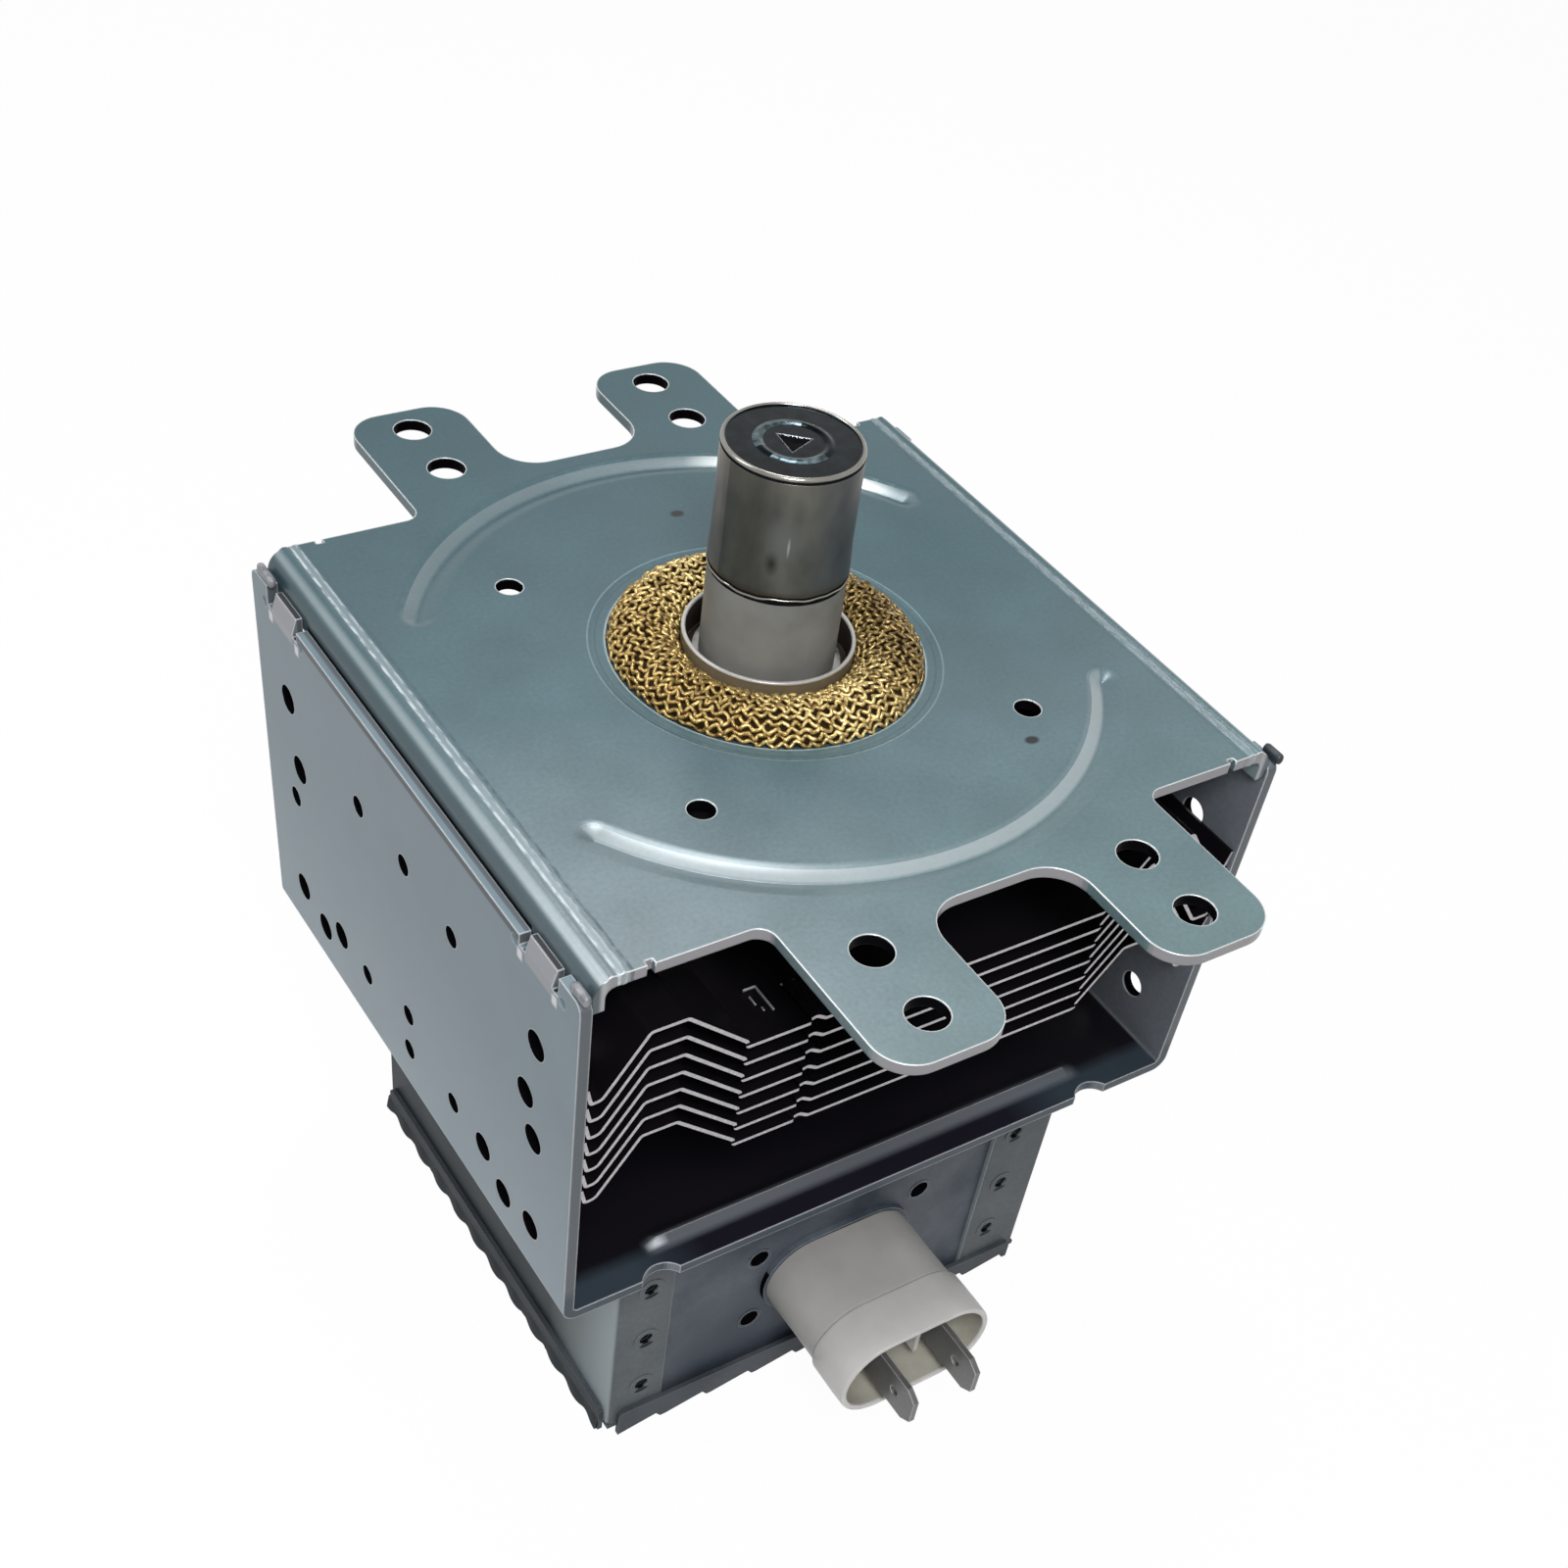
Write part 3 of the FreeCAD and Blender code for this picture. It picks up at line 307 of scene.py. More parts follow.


# Mounting plate. Bands are from, to, softness, share and tone, by distance from the middle plane: painted
# highlights and painted shade along the rolled edges;
# seat lines are from, to, share and tone, by distance from the antenna axis: painted highlights and a
# painted shade line round the gasket seat.

CLOUD_DARK = (0.90, 0.90, 0.90)
CLOUD_LIGHT = (1.04, 1.04, 1.04)
PLATE_LENGTH = (-60, 60)
# Plate tone with painted light: lightest at the front, darkening to the back
PLATE_TONE_AND_PAINTED_LIGHT = ((0.0, (0.112, 0.176, 0.186)), (0.22, (0.086, 0.145, 0.162)), (0.5, (0.070, 0.124, 0.144)),
               (0.75, (0.044, 0.094, 0.111)), (1.0, (0.023, 0.072, 0.088)))
# Painted highlight at the front left corner and painted shade on the right
PAINTED_CORNER_HIGHLIGHT = ((-46, -44, 0), (46, 46, 40), (0.195, 0.240, 0.262))
SHADED_RIGHT = ((32, 12, 0), (34, 34, 20), (0.030, 0.082, 0.098))
PLATE_STEEP = (0.15, 0.3)
PLATE_ROLLED = (0.97, 0.99)
# Bright tone for the plate's edges, painted as wear and highlight, and for the painted highlights on the rib
# flanks
PLATE_WEAR_AND_HIGHLIGHT = (0.80, 0.83, 0.84)
PLATE_EDGE_PAINT_Z = (-0.5, -0.4)
SHEARED_TONE = (0.235, 0.230, 0.245)
PLATE_DENTS = ((4.44, 27.96, 0), (18.57, -26.64, 0))
DENT_SIZE = (1.1, 0.8, 3.0)
DENT_SHADE = (0.002, 0.003, 0.004)
PILOT_RING = (28.9, 32.5)
SCREWS_X = (14.7, 19.8)
SCREWS_Y = (44.2, 59.6)
WINDOW_Y = (27.1, 27.3)
GAP_X = (43.90, 44.0)
GAP_Z = (-3.1, -2.6)
ROLL_GRAIN = 0.5 * MM
ROLL_FINE = 0.15
ROLL_LIGHT_AND_SHADE_BANDS = (
    (39.80, 40.10, 0.10, 0.80, (0.040, 0.075, 0.090)),
    (40.52, 40.74, 0.12, 0.75, (0.42, 0.49, 0.52)),
    (40.80, 41.25, 0.20, 0.45, (0.30, 0.36, 0.39)),
    (41.30, 41.52, 0.12, 0.85, (0.52, 0.59, 0.62)),
    (42.85, 43.10, 0.50, 0.30, (0.50, 0.56, 0.58)),
    (43.60, 46.00, 0.40, 0.80, (0.026, 0.052, 0.062)),
)
SEAT_LIGHT_AND_SHADE_LINES = (
    (18.47, 18.68, 0.50, (0.30, 0.42, 0.46)),
    (19.62, 19.78, 0.45, (0.030, 0.060, 0.070)),
    (20.48, 20.60, 0.30, (0.30, 0.42, 0.46)),
)
RIB_SLOPED = (0.95, 0.985)
RIB_INNER = (37.7, 39.2, 0.4)
RIB_OUTER = (40.0, 41.5, 0.4)
RIB_FRONT_Y = (-22, -14)
RIB_REAR_Y = (14, 24)
RIB_GLINT = ((24, 32, 0), (14, 14, 10))
# Shares of painted highlight on the rib flanks
RIB_INNER_HIGHLIGHT = 0.25
RIB_OUTER_HIGHLIGHT = 0.10


def plate_sheet():
    """Mounting plate: painted light that is palest at its front left corner and darkens to the back and
    right, greyer on its sheared faces, black painted shade in its holes and in the gap under its rolled
    edges.
    """
    sheet = Sheet("plate_zinc", CLOUD_DARK, CLOUD_LIGHT, 0.30, 0.15, 0.5, 0.34)
    tree = sheet.tree
    # Painted light and shade: the tone darkens from front to back, with a painted highlight at the front
    # left corner and painted shade on the right.
    tone = ramp_color(tree, above(tree, place_part(tree, "Y"), *PLATE_LENGTH), PLATE_TONE_AND_PAINTED_LIGHT)
    for center, size, color in (PAINTED_CORNER_HIGHLIGHT, SHADED_RIGHT):
        tone = mixed(tree, spot(tree, center, size, 0.0), tone, color)
    sheet.color = tinted(tree, sheet.color, tone)
    steep = turned_off(tree, "Z", *PLATE_STEEP)
    sheet.paint(both(tree, steep, turned_off(tree, "X", *PLATE_ROLLED)), SHEARED_TONE)
    paint_roll(sheet)
    # Painted highlight and shade lines round the gasket seat
    for low, high, share, color in SEAT_LIGHT_AND_SHADE_LINES:
        sheet.paint(between(tree, radius_out(tree), low, high), color, share)
    # Painted shade in the small dents
    for center in PLATE_DENTS:
        sheet.paint(spot(tree, center, DENT_SIZE, 0.6), DENT_SHADE)
    paint_ribs(sheet)
    # Painted black shade in the gap under the rolled edges and in the holes.
    gap = both(tree, above(tree, away(tree, "X"), *GAP_X), below(tree, place_part(tree, "Z"), *GAP_Z),
               below(tree, away(tree, "Y"), *WINDOW_Y))
    sheet.blacken(math_node(tree, "MAXIMUM", gap, both(tree, steep, plate_hole_mask(tree))))
    # Top edges painted bright, as wear and as painted highlight.
    return sheet.finish(PLATE_WEAR_AND_HIGHLIGHT, 0.95, above(tree, place_part(tree, "Z"), *PLATE_EDGE_PAINT_Z))


def plate_hole_mask(tree):
    """1 in the bands where the ring's pilot holes and the ears' screw holes lie."""
    pilot = between(tree, radius_out(tree), *PILOT_RING)
    screw = both(tree, between(tree, away(tree, "X"), *SCREWS_X), between(tree, away(tree, "Y"), *SCREWS_Y))
    return math_node(tree, "MAXIMUM", pilot, screw)


def paint_roll(sheet):
    """Painted highlight and shade lines along the rolled edges: the fine ones are grainy and fainter on the
    right.
    """
    tree = sheet.tree
    out = away(tree, "X")
    grain = ramp_number(tree, noise_value(tree, ROLL_GRAIN, 2, (1, 0.3, 1)), 0.25, 1, 0.40, 0.58)
    right = ramp_number(tree, place_part(tree, "X"), 1, 0.4, -5 * MM, 5 * MM)
    for low, high, soft, share, color in ROLL_LIGHT_AND_SHADE_BANDS:
        band = between(tree, out, low, high, soft)
        if soft < ROLL_FINE:
            band = both(tree, band, grain, right)
        sheet.paint(band, color, share)


def paint_ribs(sheet):
    """Painted highlights on the rib flanks: the inner one in front, the outer one behind, with a painted
    glint at the rear rib's right end.
    """
    tree = sheet.tree
    out, y = radius_out(tree), place_part(tree, "Y")
    sloped = turned_off(tree, "Z", *RIB_SLOPED)
    inner = both(tree, between(tree, out, *RIB_INNER), below(tree, y, *RIB_FRONT_Y))
    outer = both(tree, between(tree, out, *RIB_OUTER), above(tree, y, *RIB_REAR_Y))
    sheet.paint(both(tree, sloped, inner), PLATE_WEAR_AND_HIGHLIGHT, RIB_INNER_HIGHLIGHT)
    sheet.paint(both(tree, sloped, outer), PLATE_WEAR_AND_HIGHLIGHT, RIB_OUTER_HIGHLIGHT)
    sheet.paint(both(tree, sloped, outer, spot(tree, *RIB_GLINT)), PLATE_WEAR_AND_HIGHLIGHT)


# Filter box, its cover, front panel and clinch joints

BOX_DARK = (0.082, 0.096, 0.106)
BOX_LIGHT = (0.118, 0.132, 0.142)
# Edge tone of the box, panel and clinches: wear and painted highlight
BOX_WEAR_AND_HIGHLIGHT = (0.38, 0.42, 0.44)
# Side walls: painted shade, and painted light near the front
SIDE_PAINTED_SHADE = (0.018, 0.025, 0.031)
SIDE_NEAR_PAINTED_LIGHT = (0.250, 0.290, 0.305)
SIDE_NEAR_Y = (-33, -17)
SIDE_FACING = (0.6, 0.95)
COVER_DARK = (0.044, 0.052, 0.062)
COVER_LIGHT = (0.078, 0.088, 0.100)
COVER_SIDE_SHADE = (0.008, 0.013, 0.018)
COVER_SIDE_X = (34.9, 35.0)
# Edge tone of the cover: wear and painted highlight
COVER_WEAR_AND_HIGHLIGHT = (0.20, 0.22, 0.24)
PANEL_DARK = (0.040, 0.052, 0.068)
PANEL_LIGHT = (0.112, 0.128, 0.150)
PANEL_DARK_PATCH = ((-13, -33, -84), (17, 9, 12), 0.2)
EYELET_X = (11.2, 14.4)
EYELET_BORE = (0.3, 0.5)
CLINCH_X = (-29.7, 27.7)
CLINCH_Y = -33.9
CLINCH_Z = (-66.6, -77.2, -87.5)
CLINCH_PIT_SHADE = (0.003, 0.004, 0.005)
CLINCH_PIT_Y = (-33.75, -33.60)
# Marks of each clinch: a painted highlight at the lower left and painted shade in the pit
CLINCH_MARKS = (
    (-0.55, -0.75, (1.0, 3.0, 0.8), 0.35, (0.34, 0.38, 0.40)),
    (0.1, 0.2, (1.35, 3.0, 1.15), 0.85, CLINCH_PIT_SHADE),
)


def box_sheet():
    """Filter box: its side walls are painted with the shade of the yoke above them, painted lighter at the
    front.
    """
    sheet = Sheet("box_zinc", BOX_DARK, BOX_LIGHT, 0.45, 0, 0.1, 0.25)
    tree = sheet.tree
    near = below(tree, place_part(tree, "Y"), *SIDE_NEAR_Y)
    sheet.paint(turned_to(tree, "X", *SIDE_FACING), mixed(tree, near, SIDE_PAINTED_SHADE, SIDE_NEAR_PAINTED_LIGHT))
    return sheet.finish(BOX_WEAR_AND_HIGHLIGHT)


def cover_sheet():
    """Cover of the filter box: dull, with painted shade darkest on its side bands."""
    sheet = Sheet("cover_zinc", COVER_DARK, COVER_LIGHT, 0.45, 0, 0.1, 0.2)
    sheet.paint(above(sheet.tree, away(sheet.tree, "X"), *COVER_SIDE_X), COVER_SIDE_SHADE)
    return sheet.finish(COVER_WEAR_AND_HIGHLIGHT, 0.6)


def panel_sheet():
    """Front panel and flange: a darker patch below on the left, and eyelets painted black with shade inside.
    """
    sheet = Sheet("panel_zinc", PANEL_DARK, PANEL_LIGHT, 0.4, 0, 0.12, 0.12)
    tree = sheet.tree
    sheet.paint(spot(tree, *PANEL_DARK_PATCH), PANEL_DARK)
    bore = turned_off(tree, "Y", *EYELET_BORE)
    # Painted black shade inside the eyelet bores
    sheet.blacken(both(tree, bore, between(tree, away(tree, "X"), *EYELET_X)))
    return sheet.finish(BOX_WEAR_AND_HIGHLIGHT)


def rivet_sheet():
    """Clinch joints: their sunk middles are painted nearly black as shade, with a painted highlight on the
    lower left edge.
    """
    sheet = Sheet("rivet_zinc", BOX_DARK, BOX_LIGHT, 0.45, 0, 0.1, 0.1)
    tree = sheet.tree
    for x in CLINCH_X:
        for z in CLINCH_Z:
            for right, up, size, core, color in CLINCH_MARKS:
                sheet.paint(spot(tree, (x + right, CLINCH_Y, z + up), size, core), color)
    sheet.paint(above(tree, place_part(tree, "Y"), *CLINCH_PIT_Y), CLINCH_PIT_SHADE)
    return sheet.finish(BOX_WEAR_AND_HIGHLIGHT, 0.5)


# Gasket collar. Its bands are measured in from its top and side.

COLLAR_SHADE_DARK = (0.022, 0.015, 0.011)
COLLAR_SHADE_LIGHT = (0.045, 0.035, 0.028)
COLLAR_OUTSIDE_REFLECTION = (0.20, 0.165, 0.11)
COLLAR_RIM_LIT = (0.42, 0.41, 0.39)
# Edge tone of the collar: wear and painted highlight
COLLAR_WEAR_AND_HIGHLIGHT = (0.6, 0.6, 0.6)
COLLAR_RIM_BAND = (0.40, 0.25)
COLLAR_SIDE_BAND = (0.45, 0.30)


def collar_sheet():
    """Gasket collar: painted brown-black shade inside, a painted reflection of the gasket round its outside,
    its rolled rim painted in the lit steel tone, and its edges painted bright as wear and highlight.
    """
    corners = nodes_of["gasket_collar"].bound_box
    top = max(corner[2] for corner in corners) / MM
    wide = max(corner[0] for corner in corners) / MM
    outside = [wide - inset for inset in COLLAR_SIDE_BAND]
    rim = [top - drop for drop in COLLAR_RIM_BAND]
    sheet = Sheet("collar_steel", COLLAR_SHADE_DARK, COLLAR_SHADE_LIGHT, 0.35, 0.3, 0.1, 0.1)
    tree = sheet.tree
    sheet.paint(above(tree, radius_out(tree), *outside), COLLAR_OUTSIDE_REFLECTION)
    sheet.paint(above(tree, place_part(tree, "Z"), *rim), COLLAR_RIM_LIT)
    return sheet.finish(COLLAR_WEAR_AND_HIGHLIGHT, 0.3)


# Yoke

OUTSIDE_DARK = (0.128, 0.176, 0.205)
OUTSIDE_LIGHT = (0.160, 0.212, 0.242)
OUTSIDE_FOOT_PAINTED_LIGHT = (0.205, 0.260, 0.295)
OUTSIDE_FOOT_Z = (-58, -22)
# Edge tone of the yoke: wear and painted highlight
YOKE_WEAR_AND_HIGHLIGHT = (0.56, 0.58, 0.60)
YOKE_CUT_TONE = (0.090, 0.103, 0.116)
CUT_LOW_Z = (-50, -48)
CUT_FACING = (0.8, 0.95)
YOKE_LEVEL = (0.6, 0.9)
INNER_WALL_TONE = (0.155, 0.170, 0.195)
WALL_X = (44.9, 45.0)
WALL_OUTWARD = (0.25, 0.5)
WALL_TOP_Z = (-7, -6)
HOLE_X = (44.4, 44.6)
HOLE_Y = (39.2, 39.4)
HOLE_Z = (-6.6, -6.4)
HOLE_BORE = (0.4, 0.6)
WINDOW_SHADE_LINE = (0.040, 0.052, 0.058)
WINDOW_LINE_Z = (-4.4, -3.7, 0.2)
WINDOW_TOP_X = (44.5, 44.9)
TAB_TONE = (0.255, 0.265, 0.285)
TAB_Y = (28.6, 34.0, 0.2)
TAB_Z = (-6.1, -5.7)
TAB_TOP_X = (44.4, 45.1)
CHISEL_TONE = (0.62, 0.61, 0.63)
CHISEL_Y = (27.4, 34.7)
CHISEL_HALF = 0.3
CHISEL_SOFT = 0.4
CHISEL_Z = (-6.4, -5.5, CHISEL_SOFT)
SLIT_SHADE = (0.02, 0.02, 0.025)
SLIT_Y = (28.1, 34.45)
SLIT_HALF = 0.15
SLIT_Z = (-5.2, -4.9)
WEB_Z = (-30, -29)
WEB_FRONT_Y = (-37, -35)
WEB_SHADE = (0.038, 0.053, 0.070)
WEB_MIDDLE_SHADE = (0.011, 0.010, 0.018)
WEB_MIDDLE_X = (-26, 20, 9)
WEB_BACK_SHADE = (0.007, 0.006, 0.009)
BEAD_HIGHLIGHT = (0.145, 0.162, 0.185)
BEAD_SHARE = 0.7
BEAD_Y = (-36.3, -35.3, 0.9)
BEAD_X = (-31.5, 32, 1.5)
BEAD_END_HIGHLIGHT = (0.62, 0.66, 0.70)
BEAD_END_Y = (-36.0, -35.6, 0.5)
BEAD_END_X = (-31.3, -30.8, 1.3)


def yoke_sheet():
    """Bright outside and along the top edges, painted lighter toward the foot outside; dull inside, painted
    shade on the web and black painted shade in the holes.
    """
    sheet = Sheet("yoke_zinc", INNER_WALL_TONE, INNER_WALL_TONE, 0.36, 0, 0.25, 0.36)
    tree = sheet.tree
    z = place_part(tree, "Z")
    wall, outside, top, web, hole = yoke_masks(tree)
    paint_web(sheet, web)
    low = below(tree, z, *CUT_LOW_Z)
    # Cut faces low down take the web's painted shade.
    sheet.paint(turned_to(tree, "Y", *CUT_FACING), mixed(tree, low, YOKE_CUT_TONE, WEB_SHADE))
    tone = sheet.clouded(OUTSIDE_DARK, OUTSIDE_LIGHT)
    # Painted light: the outside is lighter toward its foot.
    tone = mixed(tree, below(tree, z, *OUTSIDE_FOOT_Z), tone, OUTSIDE_FOOT_PAINTED_LIGHT)
    sheet.paint(math_node(tree, "MAXIMUM", outside, top), tone)
    window = below(tree, away(tree, "Y"), *WINDOW_Y)
    # Painted shade line under the window's top edge, outside.
    sheet.paint(both(tree, outside, window, between(tree, z, *WINDOW_LINE_Z)), WINDOW_SHADE_LINE)
    sheet.paint(both(tree, top, window, between(tree, away(tree, "X"), *WINDOW_TOP_X)), YOKE_CUT_TONE)
    paint_tabs(sheet, wall, outside, top)
    # Painted black shade inside the holes.
    sheet.blacken(hole)
    return sheet.finish(YOKE_WEAR_AND_HIGHLIGHT, 0.85, ramp_number(tree, hole, 1, 0, 0, 1))


def yoke_masks(tree):
    """The two walls, their outside, their top edge, the web from above and the insides of the holes."""
    z, out = place_part(tree, "Z"), away(tree, "X")
    outward = both(tree, math_node(tree, "SIGN", place_part(tree, "X")), normal_part(tree, "X"))
    wall = above(tree, out, *WALL_X)
    outside = both(tree, ramp_number(tree, outward, 0, 1, *WALL_OUTWARD), wall)
    level = ramp_number(tree, normal_part(tree, "Z"), 0, 1, *YOKE_LEVEL)
    top = both(tree, level, above(tree, z, *WALL_TOP_Z))
    web = both(tree, level, below(tree, z, *WEB_Z))
    hole = both(tree, turned_off(tree, "X", *HOLE_BORE), below(tree, away(tree, "Y"), *HOLE_Y),
                below(tree, z, *HOLE_Z), above(tree, out, *HOLE_X))
    return wall, outside, top, web, hole


def paint_tabs(sheet, wall, outside, top):
    """The staked tabs are paler, with painted dark shade in the slits at their sides and on the tabs' tops,
    and chisel marks beside them.
    """
    tree = sheet.tree
    z, out, aside = place_part(tree, "Z"), away(tree, "X"), away(tree, "Y")
    tab = both(tree, between(tree, aside, *TAB_Y), above(tree, z, *TAB_Z))
    sheet.paint(both(tree, wall, tab), TAB_TONE)
    sheet.paint(both(tree, top, tab, between(tree, out, *TAB_TOP_X)), SLIT_SHADE)
    for at in CHISEL_Y:
        across = between(tree, aside, at - CHISEL_HALF, at + CHISEL_HALF, CHISEL_SOFT)
        sheet.paint(both(tree, outside, both(tree, across, between(tree, z, *CHISEL_Z))), CHISEL_TONE)
    for at in SLIT_Y:
        slit = both(tree, between(tree, aside, at - SLIT_HALF, at + SLIT_HALF), above(tree, z, *SLIT_Z))
        sheet.paint(both(tree, wall, slit), SLIT_SHADE)


def paint_web(sheet, web):
    """The web is painted with shade, darkest behind its bead, and the bead carries a painted highlight along
    its crest, brightest at its left end.
    """
    tree = sheet.tree
    x, y = place_part(tree, "X"), place_part(tree, "Y")
    front = below(tree, y, *WEB_FRONT_Y)
    forward = mixed(tree, between(tree, x, *WEB_MIDDLE_X), WEB_SHADE, WEB_MIDDLE_SHADE)
    sheet.paint(web, mixed(tree, front, WEB_BACK_SHADE, forward))
    sheet.paint(both(tree, web, between(tree, y, *BEAD_Y), between(tree, x, *BEAD_X)), BEAD_HIGHLIGHT, BEAD_SHARE)
    sheet.paint(both(tree, web, between(tree, y, *BEAD_END_Y), between(tree, x, *BEAD_END_X)), BEAD_END_HIGHLIGHT)


# Other materials. A knit zone is its axis, side, limits and tint; the tints paint shade on the sides and
# light in front.

FIN_SHADE = (0.012, 0.010, 0.013)
FIN_CUT_FACING = (0.6, 0.8)
FIN_CUT_STOPS = ((0.3, (0.38, 0.37, 0.38)), (0.7, (0.52, 0.50, 0.52)))
KNIT_STOPS = ((0.32, (0.150, 0.085, 0.018)), (0.66, (0.72, 0.56, 0.24)))
KNIT_LIGHT_AND_SHADE_ZONES = (
    ("X", above, 2, 13, (0.36, 0.32, 0.24)),
    ("X", below, -12, -5, (0.74, 0.68, 0.58)),
    ("Y", below, -13, -8, (1.22, 1.22, 1.25)),
)
LUG_STOPS = ((0.3, (0.13, 0.14, 0.15)), (0.7, (0.28, 0.28, 0.30)))
LUG_RIGHT_SHADE = (0.030, 0.038, 0.045)
PLASTIC_Y = (-53, -33)
PLASTIC_SHADE_STOPS = ((0.0, (0.60, 0.59, 0.58)), (0.36, (0.57, 0.56, 0.55)), (0.40, (0.46, 0.45, 0.44)),
                 (1.0, (0.32, 0.313, 0.303)))
PLASTIC_CLOUD = ((0.3, (0.92, 0.92, 0.92)), (0.7, (1.06, 1.06, 1.05)))
SLEEVE_REFLECTION_STOPS = (
    (0.02, (0.062, 0.062, 0.054)), (0.09, (0.066, 0.066, 0.058)), (0.14, (0.100, 0.099, 0.090)),
    (0.20, (0.114, 0.113, 0.103)), (0.27, (0.086, 0.092, 0.094)), (0.34, (0.064, 0.066, 0.066)),
    (0.42, (0.100, 0.098, 0.094)), (0.66, (0.078, 0.078, 0.074)), (0.88, (0.110, 0.105, 0.098)),
    (0.965, (0.185, 0.170, 0.155)), (0.99, (0.120, 0.112, 0.100)),
)
SLEEVE_CLOUD = ((0.3, (0.84, 0.83, 0.81)), (0.7, (1.34, 1.30, 1.24)))
SLEEVE_MARKS = (
    ((-5.2, -5.9, 15.8), (0.9, 0.9, 1.7), (0.022, 0.020, 0.012)),
    ((-4.4, -6.5, 18.6), (2.2, 2.2, 3.0), (0.150, 0.148, 0.142)),
    ((-3.9, -6.8, 17.9), (0.20, 0.20, 1.4), (0.45, 0.43, 0.40)),
)


def fin_sheet():
    """Fins painted near black as shade, their cut front and back edges light."""
    material, tree, shader = new_material("fin_aluminium", FIN_SHADE, 0.6, 0.4, 0.1)
    cut = ramp_color(tree, noise_value(tree, 0.5 * MM, 2, (1, 0.1, 1)), FIN_CUT_STOPS)
    color = mixed(tree, turned_to(tree, "Y", *FIN_CUT_FACING), FIN_SHADE, cut)
    tree.links.new(color, shader.inputs["Base Color"])
    return material


def plain_metal(name, dark, light, roughness, grain=1.2 * MM, metallic=1.0):
    material, tree, shader = new_material(name, light, metallic, roughness)
    speck = noise_value(tree, grain)
    tree.links.new(ramp_color(tree, speck, ((0.3, dark), (0.7, light))), shader.inputs["Base Color"])
    tree.links.new(ramp_number(tree, speck, roughness - 0.06, roughness + 0.06), shader.inputs["Roughness"])
    add_bump(tree, shader, speck, 0.01 * MM, 0.5)
    return material


def dry_solid(name, dark, light, roughness, specular, grain=1.0 * MM):
    material, tree, shader = new_material(name, light, 0.0, roughness, specular)
    cloud = noise_value(tree, grain, 4)
    tree.links.new(ramp_color(tree, cloud, ((0.3, dark), (0.7, light))), shader.inputs["Base Color"])
    add_bump(tree, shader, noise_value(tree, grain / 4, 2), 0.01 * MM, 0.6)
    return material


def knit_wire():
    """Brass-coloured wire, tarnished in flecks, with painted shade on its sides, most on the ring's right
    side, and painted light in front.
    """
    material, tree, shader = new_material("gasket_wire", (0.5, 0.4, 0.2), 0.6, 0.30)
    tone = ramp_color(tree, noise_value(tree, 0.7 * MM), KNIT_STOPS)
    for axis, side, low, high, tint in KNIT_LIGHT_AND_SHADE_ZONES:
        zone = side(tree, place_part(tree, axis), low, high)
        tone = mixed(tree, zone, tone, tinted(tree, tone, tint))
    tree.links.new(tone, shader.inputs["Base Color"])
    return material


def lug_zinc():
    """Corner lugs: bright on the left wall, painted dark as shade on the right one."""
    material, tree, shader = new_material("lug_zinc", (0.2, 0.2, 0.2), 0.2, 0.4, 0.3)
    speck = noise_value(tree, 0.8 * MM)
    right = above(tree, place_part(tree, "X"), -1, 1)
    color = mixed(tree, right, ramp_color(tree, speck, LUG_STOPS), LUG_RIGHT_SHADE)
    tree.links.new(color, shader.inputs["Base Color"])
    add_bump(tree, shader, speck, 0.05 * MM, 0.5)
    return material


def socket_plastic():
    """Moulded socket: painted darker with shade on the neck next to the panel than on the wider mouth."""
    material, tree, shader = new_material("socket_plastic", (0.4, 0.4, 0.38), 0.0, 0.42, 0.35)
    body = ramp_color(tree, above(tree, place_part(tree, "Y"), *PLASTIC_Y), PLASTIC_SHADE_STOPS)
    cloud = ramp_color(tree, noise_value(tree, 6 * MM, 4), PLASTIC_CLOUD)
    tree.links.new(tinted(tree, body, cloud), shader.inputs["Base Color"])
    add_bump(tree, shader, noise_value(tree, 1.5 * MM, 2), 0.01 * MM, 0.6)
    return material


def sleeve_steel():
    """Burnished tube: upright bands of painted reflection round it, a dark spot, a pale patch and a scratch.
    """
    material, tree, shader = new_material("sleeve_steel", (0.1, 0.1, 0.1), 0.55, 0.36, 0.3)
    tone = ramp_color(tree, angle_share(tree), SLEEVE_REFLECTION_STOPS)
    tone = tinted(tree, tone, ramp_color(tree, noise_value(tree, 3 * MM, 5, (1, 1, 0.6)), SLEEVE_CLOUD))
    for center, size, color in SLEEVE_MARKS:
        tone = mixed(tree, spot(tree, center, size, 0.0), tone, color)
    tree.links.new(tone, shader.inputs["Base Color"])
    add_bump(tree, shader, noise_value(tree, 1.5 * MM), 0.02 * MM, 0.4)
    return material


PLATE = plate_sheet()
YOKE = yoke_sheet()
BOX = box_sheet()
PANEL = panel_sheet()
COVER = cover_sheet()
RIVET = rivet_sheet()
FIN_MARK_HIGHLIGHT = plain_metal("fin_mark_highlight", (0.55, 0.56, 0.57), (0.78, 0.79, 0.80), 0.32, grain=0.5 * MM, metallic=0.7)
FIN = fin_sheet()
MAGNET = dry_solid("magnet_ferrite", (0.008, 0.007, 0.009), (0.014, 0.012, 0.015), 0.6, specular=0.15)
LUG = lug_zinc()
COPPER = plain_metal("bare_copper", (0.30, 0.15, 0.10), (0.45, 0.25, 0.17), 0.35)
COLLAR = collar_sheet()
SEAL = plain_metal("seal_metal", (0.30, 0.29, 0.28), (0.42, 0.41, 0.39), 0.3)
DARK_METAL = plain_metal("dark_metal", (0.10, 0.10, 0.10), (0.16, 0.16, 0.16), 0.4)
